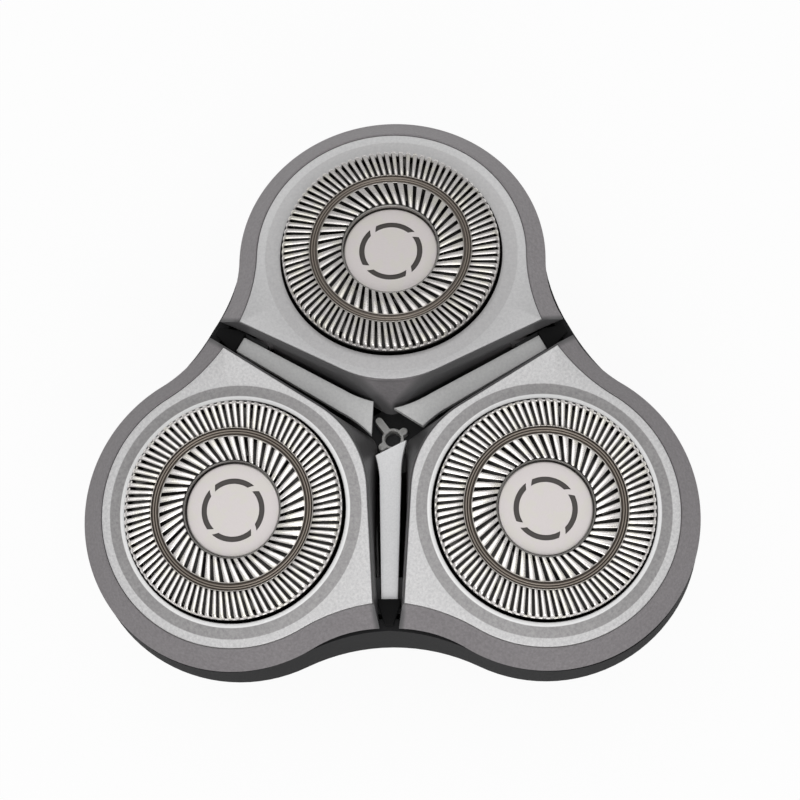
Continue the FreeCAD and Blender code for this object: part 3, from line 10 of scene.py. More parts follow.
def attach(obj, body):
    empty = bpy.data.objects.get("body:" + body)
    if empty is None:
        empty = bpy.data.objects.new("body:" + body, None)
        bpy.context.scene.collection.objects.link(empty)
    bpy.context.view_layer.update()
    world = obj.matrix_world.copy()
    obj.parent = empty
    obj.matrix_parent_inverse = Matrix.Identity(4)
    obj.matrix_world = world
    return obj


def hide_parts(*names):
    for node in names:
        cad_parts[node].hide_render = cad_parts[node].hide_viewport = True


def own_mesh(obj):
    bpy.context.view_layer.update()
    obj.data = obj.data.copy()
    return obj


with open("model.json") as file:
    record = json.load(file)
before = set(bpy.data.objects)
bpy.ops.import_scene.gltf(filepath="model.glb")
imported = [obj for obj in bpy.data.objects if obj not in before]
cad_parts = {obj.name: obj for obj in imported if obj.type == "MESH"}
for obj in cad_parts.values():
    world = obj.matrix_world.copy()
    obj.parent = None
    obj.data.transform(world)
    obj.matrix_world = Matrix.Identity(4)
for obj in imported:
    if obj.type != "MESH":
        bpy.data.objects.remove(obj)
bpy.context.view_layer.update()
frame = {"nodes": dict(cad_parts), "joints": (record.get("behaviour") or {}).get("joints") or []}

# Lengths are millimetres, as in the part's source, and are multiplied by MM where Blender needs metres.
MM = 0.001
LOBES = (1, 2, 3)
REAR_LOBE = 1
FRONT_GAP = 3
# Directions of the gaps and of the lobes, in degrees round the head.
GAP_ANGLES = {1: 30.0, 2: 150.0, 3: 270.0}
LOBE_ANGLES = {1: 90.0, 2: 210.0, 3: 330.0}
# The way an arc turns from its start to its end.
LEFT = 1
RIGHT = -1


# Places


def lobe_frame(lobe):
    """Centre of a lobe's cap and its three axes: across, outwards along the face, and up off it."""
    spin = next(joint for joint in frame["joints"] if joint["name"] == f"cutter_spin_{lobe}")
    centre = np.array(spin["pos_m"]) / MM
    up = np.array(spin["axis"], float)
    up /= np.linalg.norm(up)
    outwards = np.array([centre[0], centre[1], 0.0])
    outwards -= up * outwards.dot(up)
    outwards /= np.linalg.norm(outwards)
    return centre, np.array([np.cross(outwards, up), outwards, up])


LOBE_FRAMES = {lobe: lobe_frame(lobe) for lobe in LOBES}


def from_lobe(lobe):
    """Turns points of a lobe's face frame into points of the whole head."""
    centre, axes = LOBE_FRAMES[lobe]
    return lambda points: centre + points @ axes


def from_turn(degrees):
    """Turns points measured outwards, across and up along a direction into points of the whole head."""
    turn = math.radians(degrees)
    along = np.array([math.cos(turn), math.sin(turn), 0.0])
    across = np.array([-math.sin(turn), math.cos(turn), 0.0])
    axes = np.array([along, across, [0.0, 0.0, 1.0]])
    return lambda points: points @ axes


def unmoved(points):
    """Keeps points that are of the whole head already."""
    return points


# Meshes

# Points closer than this, in metres, are welded into one.
WELD = 1e-7


def grid_faces(rows, columns, close_rows):
    """Four-sided faces between the rows of a grid, each row a ring; close_rows joins the last to the first."""
    row = np.arange(rows if close_rows else rows - 1)[:, None]
    column = np.arange(columns)[None, :]
    next_row = (row + 1) % rows
    next_column = (column + 1) % columns
    corners = np.broadcast_arrays(
        row * columns + column,
        row * columns + next_column,
        next_row * columns + next_column,
        next_row * columns + column,
    )
    return np.stack(corners, axis=-1).reshape(-1, 4)


def join(parts):
    """Puts several grids of (points, faces) into one."""
    points, faces, start = [], [], 0
    for part_points, part_faces in parts:
        points.append(part_points.reshape(-1, 3))
        faces.append(part_faces + start)
        start += len(points[-1])
    return np.concatenate(points), np.concatenate(faces)


def make_piece(name, body, shape, place, material, replaces, crease=35.0):
    """Writes a grid into a mesh in metres, welds its seams, faces it outwards and hangs it on a body.

    Edges that bend by more than the crease, in degrees, stay sharp.
    """
    points, faces = shape
    mesh = bpy.data.meshes.new(name)
    mesh.from_pydata((place(points) * MM).tolist(), [], faces.tolist())
    work = bmesh.new()
    work.from_mesh(mesh)
    bmesh.ops.remove_doubles(work, verts=work.verts, dist=WELD)
    bmesh.ops.dissolve_degenerate(work, dist=WELD, edges=work.edges)
    bmesh.ops.recalc_face_normals(work, faces=work.faces)
    work.to_mesh(mesh)
    work.free()
    mesh.shade_smooth()
    mesh.set_sharp_from_angle(angle=math.radians(crease))
    mesh.materials.append(material)
    piece = bpy.data.objects.new(name, mesh)
    bpy.context.scene.collection.objects.link(piece)
    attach(piece, body)
    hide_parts(*replaces)
    return piece


def turned(profile, steps):
    """Ring: each (radius, height) corner of a closed profile goes once round the upright axis."""
    profile = np.array(profile, float)
    turn = np.linspace(0.0, 2 * math.pi, steps, endpoint=False)[:, None]
    x = profile[:, 0] * np.cos(turn)
    y = profile[:, 0] * np.sin(turn)
    z = np.broadcast_to(profile[:, 1], x.shape)
    return np.stack([x, y, z], axis=-1).reshape(-1, 3), grid_faces(steps, len(profile), True)


def skin(rings, closed):
    """Surface through rings of equally many points; closed joins the last ring to the first."""
    rings = np.array(rings, float)
    return rings.reshape(-1, 3), grid_faces(*rings.shape[:2], closed)


def at_height(outline, height):
    """A flat outline lifted to a height."""
    return np.column_stack([outline, np.full(len(outline), height)])


def to_point(ring):
    """All of a ring's points drawn in to their middle, which closes a surface there."""
    return np.tile(ring.mean(axis=0), (len(ring), 1))


def rounded_corner(corner, before, after, radius, steps):
    """Points of a small arc that replaces a profile's corner, from the edge before to the edge after.

    They lie on a quadratic curve: (1-t)^2 start + 2 t (1-t) corner + t^2 end.
    """
    corner, before, after = (np.array(point, float) for point in (corner, before, after))
    start = corner + (before - corner) / np.linalg.norm(before - corner) * radius
    end = corner + (after - corner) / np.linalg.norm(after - corner) * radius
    t = np.linspace(0.0, 1.0, steps)[:, None]
    return (1 - t) ** 2 * start + 2 * t * (1 - t) * corner + t ** 2 * end


def soften(profile, radii, steps=4):
    """Closed profile with its corners rounded, each by its own radius (0 keeps it sharp)."""
    result = []
    count = len(profile)
    for index, corner in enumerate(profile):
        if radii[index] > 0:
            before, after = profile[index - 1], profile[(index + 1) % count]
            result.extend(rounded_corner(corner, before, after, radii[index], steps).tolist())
        else:
            result.append(list(corner))
    return result


def arc_points(start, end, radius, side, count):
    """Points of the shorter arc from start to end, turning left or right, without its end."""
    start, end = np.array(start, float), np.array(end, float)
    chord = end - start
    length = np.linalg.norm(chord)
    rise = math.sqrt(max(radius ** 2 - length ** 2 / 4, 0.0))
    normal = np.array([-chord[1], chord[0]]) / length
    centre = (start + end) / 2 + normal * rise * side
    first = math.atan2(*(start - centre)[::-1])
    last = math.atan2(*(end - centre)[::-1])
    sweep = (last - first) * side % (2 * math.pi) * side
    turn = first + sweep * np.linspace(0.0, 1.0, count, endpoint=False)
    return centre + radius * np.column_stack([np.cos(turn), np.sin(turn)])


def trace(corners, counts):
    """Points along a closed outline of (x, y) or (x, y, radius, side) corners, a set count an edge."""
    points = []
    for index, corner in enumerate(corners):
        end = corners[(index + 1) % len(corners)][:2]
        count = counts[index]
        if len(corner) == 4:
            points.append(arc_points(corner[:2], end, corner[2], corner[3], count))
        else:
            share = np.linspace(0.0, 1.0, count, endpoint=False)[:, None]
            points.append(np.array(corner[:2]) * (1 - share) + np.array(end) * share)
    return np.concatenate(points)


# Outlines of a lobe, from the sizes of the part's source

PLATE_RADIUS = 13.8
CORNER_X = 15.35
FLARE_RADIUS = 19.0
GAP_TURN = math.radians(27.0)
NOSE_RADIUS = 10.7
NOSE_REACH = 13.85
NOSE_Y = NOSE_RADIUS - NOSE_REACH
GAP_EDGE = NOSE_RADIUS - NOSE_Y * math.cos(GAP_TURN)
SKIRT_DROP = 1.9
SKIRT_RADIUS = 15.6
SKIRT_Y = 0.35
SKIRT_CORNER = (17.37, -6.42)
SKIRT_FLARE = 13.3
# Points along each edge of the outline, which starts at the round end's right side and turns left.
OUTLINE_COUNTS = (80, 80, 40, 4, 50, 60, 50, 4, 40)


def gap_edge_y(x, grow):
    """Where the gap edge lies along the lobe, at a place x across it."""
    return -(GAP_EDGE + grow - x * math.sin(GAP_TURN)) / math.cos(GAP_TURN)


def lobe_outline(grow, drop=0.0):
    """Outline of a lobe's top grown all round; drop goes from 0, at the face, to 1, at the skirt's edge.

    The round end and its two hollow curves widen with the drop. The gap edges and the nose don't.
    """
    radius = PLATE_RADIUS + grow + (SKIRT_RADIUS - PLATE_RADIUS) * drop
    centre_y = SKIRT_Y * drop
    flare = FLARE_RADIUS - grow + (SKIRT_FLARE - FLARE_RADIUS) * drop
    top_x = CORNER_X + grow
    top_y = gap_edge_y(top_x, grow)
    low_x = top_x + (SKIRT_CORNER[0] - CORNER_X) * drop
    low_y = top_y + (SKIRT_CORNER[1] - gap_edge_y(CORNER_X, 0.0)) * drop
    nose = NOSE_RADIUS + grow
    foot_x = nose * math.sin(GAP_TURN)
    foot_y = NOSE_Y - nose * math.cos(GAP_TURN)
    corners = [
        (radius, centre_y, radius, LEFT),
        (0.0, centre_y + radius, radius, LEFT),
        (-radius, centre_y, flare, RIGHT),
        (-low_x, low_y),
        (-top_x, top_y),
        (-foot_x, foot_y, nose, LEFT),
        (foot_x, foot_y),
        (top_x, top_y),
        (low_x, low_y, flare, RIGHT),
    ]
    return trace(corners, OUTLINE_COUNTS)


FACE_OUTLINE = lobe_outline(0.0)
FACE_TURNS = np.arctan2(FACE_OUTLINE[:, 1], FACE_OUTLINE[:, 0])


def circle(radius, height):
    """Circle about the cap with a point in the direction of each point of the lobe's outline."""
    return at_height(radius * np.column_stack([np.cos(FACE_TURNS), np.sin(FACE_TURNS)]), height)


# Pieces of a lobe

# How far the plate's edge and the holder's rim stand in from the lobe's outline.
PLATE_INSET = 0.15
RIM_INSET = 0.1
# Radii of the rounding of the plate's edge and of the holder's rim.
PLATE_ROUND = 0.12
RIM_ROUND = 0.05
PLATE_BOTTOM = -0.4
CUP_BORE = 12.3


def face_plate_shape():
    """Skin of rings: up the plate's edge, over its rounded rim, in over the face and the raised ring,
    down the cap's hole and back underneath."""
    rings = [at_height(lobe_outline(-PLATE_INSET), PLATE_BOTTOM)]
    for turn in np.linspace(0.0, math.pi / 2, 4):
        inset = PLATE_INSET + PLATE_ROUND * (1 - math.cos(turn))
        rings.append(at_height(lobe_outline(-inset), PLATE_ROUND * (math.sin(turn) - 1)))
    raised_ring = ((12.9, 0.0), (12.8, 0.006), (12.7, 0.026), (11.72, 0.236), (11.62, 0.25), (11.3, 0.25))
    hole = ((11.24, 0.225), (11.22, 0.17), (11.22, PLATE_BOTTOM))
    rings += [circle(radius, height) for radius, height in raised_ring + hole]
    return skin(rings, True)


def holder_shape():
    """Skin of rings: over the rim round the plate, down the sloped skirt, under its edge, up inside it,
    down the cup and back up its bore to the plate's seat."""
    rim = lobe_outline(-RIM_INSET)
    rings = [at_height(rim, PLATE_BOTTOM), at_height(rim, -0.03)]
    for turn in np.linspace(0.0, math.pi / 2, 4):
        inset = RIM_ROUND * (1 - math.sin(turn))
        rings.append(at_height(lobe_outline(-inset), RIM_ROUND * (math.cos(turn) - 1)))
    # How far a ring's outline is grown, its drop, and its depth as a share of the skirt's.
    slope = [(0.0, share, share) for share in (0.03, 0.33, 0.66, 0.94)]
    edge = [(-0.02, 1.0, 0.98), (-0.1, 1.0, 1.0), (-0.85, 1.0, 1.0), (-0.9, 0.9, 0.95), (-0.9, 0.3, 0.5)]
    for grow, drop, depth in slope + edge:
        rings.append(at_height(lobe_outline(grow, drop), -SKIRT_DROP * depth))
    cup = ((12.95, -0.9), (12.95, -5.1), (12.85, -5.3), (12.4, -5.3), (CUP_BORE, -5.2), (CUP_BORE, -3.4),
           (12.05, -3.4), (12.05, -0.9), (11.4, -0.9), (11.4, PLATE_BOTTOM))
    rings += [circle(radius, height) for radius, height in cup]
    return skin(rings, True)


NOSE_HALF = 12.0
NOSE_BACK = -3.4
NOSE_TOP = -0.5
NOSE_BOTTOM = -7.0
KEEL_TURN = math.radians(30.25)
KEEL_BASE = -15.434
KEEL_TIP = 1.4


def gap_side_outline(side_y, foot, radius):
    """Both gap edges of a lobe and the round tip between them, closed by a straight line behind."""
    corners = [(-NOSE_HALF, NOSE_BACK), (-NOSE_HALF, side_y), (-foot[0], foot[1], radius, LEFT), foot,
               (NOSE_HALF, side_y), (NOSE_HALF, NOSE_BACK)]
    return trace(corners, (6, 24, 60, 24, 6, 1))


def nose_outline(grow):
    """Gap edges and round nose of a lobe's top."""
    nose = NOSE_RADIUS + grow
    foot = (nose * math.sin(GAP_TURN), NOSE_Y - nose * math.cos(GAP_TURN))
    return gap_side_outline(gap_edge_y(NOSE_HALF, grow), foot, nose)


def keel_outline():
    """The keel's lower edge: straight along both gaps, with a small round tip between them."""
    foot = (KEEL_TIP * math.sin(KEEL_TURN),
            KEEL_BASE + KEEL_TIP / math.cos(KEEL_TURN) - KEEL_TIP * math.cos(KEEL_TURN))
    return gap_side_outline(KEEL_BASE + NOSE_HALF * math.tan(KEEL_TURN), foot, KEEL_TIP)


def nose_shape():
    """Skin of upright sections: down the keel's sloped walls, in under its edge to the nose block, down that
    to its flat underside and back up its bore."""
    top, edge, block = nose_outline(-0.02), keel_outline(), nose_outline(-0.25)
    turn_in = math.asin(-NOSE_BACK / CUP_BORE)
    turn = math.pi + turn_in + (math.pi - 2 * turn_in) * np.linspace(0.0, 1.0, len(top))
    inner = CUP_BORE * np.column_stack([np.cos(turn), np.sin(turn)])
    levels = [at_height(top, NOSE_TOP), at_height(edge, -5.48), at_height(edge * 0.996, -5.58),
              at_height(block, -5.6), at_height(block, -6.85), at_height(block * 0.992, NOSE_BOTTOM),
              at_height(inner, NOSE_BOTTOM), at_height(inner, NOSE_TOP)]
    sections = np.array(levels).transpose(1, 0, 2)
    return skin([to_point(sections[0]), *sections, to_point(sections[-1])], False)


def pin_shape():
    """Two stub pins in one: a round bar along the hinge line, with rounded ends."""
    y, z, end, radius = -7.818, -4.337, 14.845, 0.6
    turn = np.linspace(0.0, 2 * math.pi, 32, endpoint=False)
    right_end = [(end - 0.1, radius), (end, radius * 0.85), (end, 0.0)]
    left_end = [(-x, size) for x, size in reversed(right_end)]
    rings = [np.column_stack([np.full(len(turn), x), y + size * np.cos(turn), z + size * np.sin(turn)])
             for x, size in left_end + right_end]
    return skin(rings, False)


# Springs: a coil spring in each drive gear's bore and a leaf spring for each lobe

# Place of each spring's foot outwards and up.
GEAR_REACH = 17.5
COIL_FOOT = 9.0
LEAF_REACH = 22.0
LEAF_FOOT = 12.3


def coil_spring_shape():
    """Round wire along a screw line in the drive gear's bore, each end drawn in to a point.

    The line is (GEAR_REACH + coil cos t, coil sin t), and it climbs evenly from bottom to top in three turns.
    """
    wire, coil, bottom, top, steps = 0.17, 1.45, 9.24, 11.76, 72
    turns = np.linspace(0.0, 6 * math.pi, steps + 1)
    round_wire = np.linspace(0.0, 2 * math.pi, 10, endpoint=False)
    stations = [(0, 0.0)] + [(index, wire) for index in range(steps + 1)] + [(steps, 0.0)]
    rings = []
    for index, size in stations:
        turn = turns[index]
        out = coil + size * np.cos(round_wire)
        rings.append(np.column_stack([GEAR_REACH + out * math.cos(turn), out * math.sin(turn),
                                      bottom + (top - bottom) * index / steps + size * np.sin(round_wire)]))
    return skin(rings, False)


def leaf_spring_shape():
    """Steel strip with a flat foot, which then climbs: climb ((outwards - foot_end) / span)^bend."""
    half, thick, edge = 2.0, 0.3, 0.06
    foot_end, span, climb, bend = 23.2, 6.8, 4.0, 1.15
    across = np.array([-half + edge, half - edge, half, half, half - edge, -half + edge, -half, -half])
    height = np.array([0, 0, edge, thick - edge, thick, thick, thick - edge, edge])
    outwards = np.linspace(21.6, 30.0, 25)
    stations = [(outwards[0], 0.0)] + [(out, 1.0) for out in outwards] + [(outwards[-1], 0.0)]
    rings = []
    for out, size in stations:
        rise = climb * (max(out - foot_end, 0.0) / span) ** bend
        rings.append(np.column_stack([np.full(len(across), out), across * size,
                                      LEAF_FOOT + rise + thick / 2 + (height - thick / 2) * size]))
    return skin(rings, False)


# Guard cap: separate bars between the slots, on three turned rings

OUTER_SLOTS = 90
INNER_SLOTS = 45
OUTER_SLANT = math.tan(math.radians(9.0))
INNER_SLANT = math.tan(math.radians(20.0))
# How much a slot widens for each millimetre outwards.
SLOT_FLARE = 0.03
TRACK_TOP = 1.8
INNER_TOP = 1.75
CAP_RADIUS = 11.0
SHOULDER = 0.42
SHEET = 0.3


def bars(count, path, slot_width, middle, slant):
    """Bars between slots: a rounded cross-section carried along a path of (radius, height, normal).

    A point sits at its path place, moved sideways by half the pitch left between two slots, and
    leans with the slots: its sideways shift grows with the distance from the slot's middle.
    """
    radius, height, lean_r, lean_z = (np.array(column) for column in zip(*path))
    half = math.pi * radius / count - slot_width(radius) / 2
    side = np.array([-1.0, -1.0, -0.92, -0.7, -0.35, 0.35, 0.7, 0.92, 1.0, 1.0])
    depth = np.array([SHEET, 0.1, 0.05, 0.02, 0.004, 0.004, 0.02, 0.05, 0.1, SHEET])
    across = half[:, None] * side + (radius[:, None] - middle) * slant
    out = radius[:, None] - lean_r[:, None] * depth
    up = height[:, None] - lean_z[:, None] * depth
    turn = (np.arange(count) * 2 * math.pi / count)[:, None, None]
    x = out * np.cos(turn) - across * np.sin(turn)
    y = out * np.sin(turn) + across * np.cos(turn)
    points = np.stack([x, y, np.broadcast_to(up, x.shape)], axis=-1)
    ends = points.mean(axis=2, keepdims=True)[:, [0, -1]]
    ends = np.broadcast_to(ends, (count, 2, len(side), 3))
    points = np.concatenate([ends[:, :1], points, ends[:, 1:]], axis=1)
    rows, columns = points.shape[1:3]
    faces = grid_faces(rows, columns, False)
    starts = (np.arange(count) * rows * columns)[:, None, None]
    return points.reshape(-1, 3), (faces + starts).reshape(-1, 4)


def outer_path():
    """Along the flat track, over the shoulder in a quarter circle and down the cap's wall."""
    path = [(8.14, TRACK_TOP - 0.06, 0.0, 1.0)]
    path += [(radius, TRACK_TOP, 0.0, 1.0) for radius in (8.28, 9.1, 9.9)]
    for turn in np.linspace(0.0, math.pi / 2, 6):
        path.append((CAP_RADIUS - SHOULDER * (1 - math.sin(turn)), TRACK_TOP - SHOULDER * (1 - math.cos(turn)),
                     math.sin(turn), math.cos(turn)))
    path.append((CAP_RADIUS, 0.85, 1.0, 0.0))
    return path


def inner_path():
    """Flat, with both ends dipping a little where they run into the rims."""
    return [(radius, INNER_TOP - dip, 0.0, 1.0)
            for radius, dip in ((4.92, 0.08), (5.08, 0.0), (6.2, 0.0), (7.2, 0.0), (7.4, 0.05))]


def guard_cap_shape():
    """Both rows of bars, the well's rim, the grooved ring between the tracks, and the wall with its flange."""
    well = soften([(4.8, 0.44), (4.8, 1.52), (4.96, 1.52), (5.02, 0.14), (3.6, 0.14), (3.6, 0.44)],
                  [0, 0.06, 0.05, 0.1, 0.05, 0.08])
    groove = soften([(7.3, 1.43), (7.34, 1.68), (7.46, 1.68), (7.5, 1.56), (7.58, 1.56), (7.64, 1.66),
                     (7.76, 1.66), (7.82, 1.58), (7.9, 1.66), (8.02, 1.66), (8.08, 1.56), (8.12, 1.56),
                     (8.16, 1.72), (8.24, 1.72), (8.28, 1.43)],
                    [0, 0.04, 0.04, 0, 0, 0.03, 0.03, 0, 0.03, 0.03, 0, 0, 0.04, 0.03, 0], 3)
    wall = soften([(10.7, 0.9), (11.0, 0.9), (11.0, -1.0), (11.75, -1.0), (11.75, -1.5), (10.7, -1.5)],
                  [0.05, 0.05, 0.15, 0.08, 0.08, 0.1])
    outer = bars(OUTER_SLOTS, outer_path(), lambda radius: 0.24 + SLOT_FLARE * (radius - 8.4),
                 9.45, OUTER_SLANT)
    inner = bars(INNER_SLOTS, inner_path(), lambda radius: 0.29 + SLOT_FLARE * (radius - 5.0),
                 6.25, INNER_SLANT)
    return join([turned(well, 240), turned(groove, 300), turned(wall, 240), outer, inner])


# Cap disc: its four sunk arcs start at an angle of their own on each lobe, in degrees

ARC_INNER = 2.65
ARC_OUTER = 3.2
ARC_STARTS = {1: 50.0, 2: 26.6, 3: 76.3}
ARC_SPAN = 77.0
ARC_LEAN = -8.5
ARC_DEPTH = 0.12
DISC_TOP = 0.94


def disc_shape(start):
    """Surface over radius and angle: a flat top sunk inside four arcs whose ends lean with the radius,
    then the rounded edge, the underside and the pin down to its middle."""
    step = 0.04
    radii = np.array([0.0, 0.6, 1.2, 1.8, 2.4, ARC_INNER, ARC_INNER + step, 2.95, ARC_OUTER - step, ARC_OUTER,
                      3.6, 4.1, 4.5])
    sunk_radius = (radii > ARC_INNER + step / 2) & (radii < ARC_OUTER - step / 2)
    edge = 0.8
    along_arc = np.linspace(4.0, ARC_SPAN - 4.0, 18)
    within = np.concatenate([[0.0, edge], along_arc, [ARC_SPAN - edge, ARC_SPAN, 81.0, 85.5]])
    turn = (np.arange(4)[:, None] * 90.0 + within).ravel()
    sunk_turn = np.tile((within > edge / 2) & (within < ARC_SPAN - edge / 2), 4)
    lean = ARC_LEAN * np.clip((radii - ARC_INNER) / (ARC_OUTER - ARC_INNER), 0.0, 1.0)
    angle = np.radians(start + turn + lean[:, None])
    height = DISC_TOP - ARC_DEPTH * (sunk_radius[:, None] & sunk_turn)
    top = np.stack([radii[:, None] * np.cos(angle), radii[:, None] * np.sin(angle), height], axis=-1)
    rim = np.column_stack([np.cos(angle[-1]), np.sin(angle[-1])])
    profile = ((4.61, 0.937), (4.65, 0.925), (4.675, 0.9), (4.68, 0.86), (4.68, 0.5), (4.64, 0.44),
               (3.5, 0.44), (3.5, 0.14), (1.2, 0.14), (1.2, -0.72), (1.1, -0.8), (0.0, -0.8))
    below = np.array([at_height(radius * rim, level) for radius, level in profile])
    return skin(np.concatenate([top, below]), False)


# Pieces of the frame

STRIP_BOTTOM = 22.05
STRIP_TOP = 22.9
# Place outwards and width of a strip at its outer end, and where its hollow curve begins.
STRIP_END, END_WIDTH = 17.6, 1.64
STRIP_BEND, BEND_WIDTH = 5.2, 2.16
BLOCK_BOTTOM = 22.05
BLOCK_TOP = 23.4


def strip_side(corner, side):
    """One long side of a strip, from its outer end to the hollow curve's end near the hub."""
    bend = (STRIP_BEND, side * BEND_WIDTH / 2)
    straight = np.linspace((STRIP_END, side * END_WIDTH / 2), bend, 14, endpoint=False)
    curve = arc_points(bend, corner, 12.0, RIGHT if side > 0 else LEFT, 16)
    return np.concatenate([straight, curve, [corner]])


def cover_strip_shape():
    """Sections run straight from one long side to the other; each is a rounded bar, lower at its edges."""
    left = strip_side((1.3, 1.6), 1)
    right = strip_side((2.9, -1.5), -1)
    thick = STRIP_TOP - STRIP_BOTTOM
    share = np.array([0.0, 0.0, 0.015, 0.05, 0.25, 0.5, 0.75, 0.95, 0.985, 1.0, 1.0])
    depth = np.array([thick, 0.12, 0.05, 0.015, 0.003, 0.0, 0.003, 0.015, 0.05, 0.12, thick])
    flat = left[:, None] * (1 - share[:, None]) + right[:, None] * share[:, None]
    level = np.broadcast_to(STRIP_TOP - depth[:, None], (*flat.shape[:2], 1))
    sections = np.concatenate([flat, level], axis=2)
    return skin([to_point(sections[0]), *sections, to_point(sections[-1])], False)


def hinge_block_shape():
    """Rings of the block's six-sided outline, drawn in at the top edge, over a shorter foot."""
    back, shoulder, front, foot_top = 17.65, 18.3, 20.3, 22.95
    half, tip = 1.1, 0.42
    outline = trace([(back, -half), (shoulder, -half), (front, -tip), (front, tip), (shoulder, half),
                     (back, half)], (4, 10, 2, 10, 4, 10))
    foot = np.column_stack([np.clip(outline[:, 0], back, shoulder), outline[:, 1]])
    middle = outline.mean(axis=0)
    rings = [to_point(at_height(foot, BLOCK_BOTTOM)), at_height(foot, BLOCK_BOTTOM), at_height(foot, foot_top),
             at_height(outline, foot_top)]
    for turn in np.linspace(0.0, math.pi / 2, 4):
        drawn_in = middle + (outline - middle) * (1 - 0.1 * (1 - math.cos(turn)))
        rings.append(at_height(drawn_in, BLOCK_TOP - 0.12 * (1 - math.sin(turn))))
    rings.append(to_point(at_height(outline, BLOCK_TOP)))
    return skin(rings, False)


def star_shape():
    """Rings of a four-armed outline: round the hub its radius is the hub's, and near an arm it is half the
    arm's width over the sine of the angle off the arm, as far as the arm's rounded tip."""
    hub, hole_radius, half, short_arm, long_arm = 1.12, 0.82, 0.37, 1.75, 2.74
    bottom, top = 17.2, 18.4
    first_arm = math.radians(36.6)
    turn = np.linspace(0.0, 2 * math.pi, 480, endpoint=False)
    nearest = np.round((turn - first_arm) / (math.pi / 2))
    off_arm = turn - first_arm - nearest * math.pi / 2
    reach = np.where(nearest % 4 == 1, long_arm, short_arm)
    side = half / np.maximum(np.abs(np.sin(off_arm)), 0.01)
    round_middle = reach - half
    tip = round_middle * np.cos(off_arm) + np.sqrt(
        np.maximum(half ** 2 - (round_middle * np.sin(off_arm)) ** 2, 0.0))
    arm = np.where(side * np.cos(off_arm) < round_middle, side, tip)
    direction = np.column_stack([np.cos(turn), np.sin(turn)])
    outer = direction * np.maximum(arm, hub)[:, None]
    hole = direction * hole_radius
    rings = [at_height(hole, bottom), at_height(outer, bottom), at_height(outer, top - 0.1),
             at_height(outer - direction * 0.03, top - 0.03), at_height(outer - direction * 0.08, top),
             at_height(hole + direction * 0.06, top), at_height(hole, top - 0.06)]
    return skin(rings, True)


# Materials

# Sockets of a Mix node that blends colours: three inputs and its output.
MIX_SHARE, MIX_FIRST, MIX_SECOND, MIX_RESULT = 0, 6, 7, 2


class Field:
    """A shader socket. An expression on it adds the Math nodes that work it out."""

    def __init__(self, finish, socket):
        self.finish = finish
        self.socket = socket

    def math(self, operation, *others):
        return self.finish.node("ShaderNodeMath", {"operation": operation}, [self, *others])

    def __add__(self, other):
        return self.math("ADD", other)

    __radd__ = __add__

    def __mul__(self, other):
        return self.math("MULTIPLY", other)

    __rmul__ = __mul__

    def __sub__(self, other):
        return self.math("SUBTRACT", other)

    def __rsub__(self, other):
        return self.finish.node("ShaderNodeMath", {"operation": "SUBTRACT"}, [other, self])

    def __pow__(self, other):
        return self.math("POWER", other)


def distance(first, second):
    """Length of two fields measured at right angles to each other."""
    return (first * first + second * second) ** 0.5


def linear(shade):
    """Linear value of a screen shade from 0 to 255, by the sRGB curve."""
    share = shade / 255.0
    return share / 12.92 if share <= 0.04045 else ((share + 0.055) / 1.055) ** 2.4


def colour(red, green, blue):
    """Shader colour of a screen colour from 0 to 255."""
    return (linear(red), linear(green), linear(blue), 1.0)


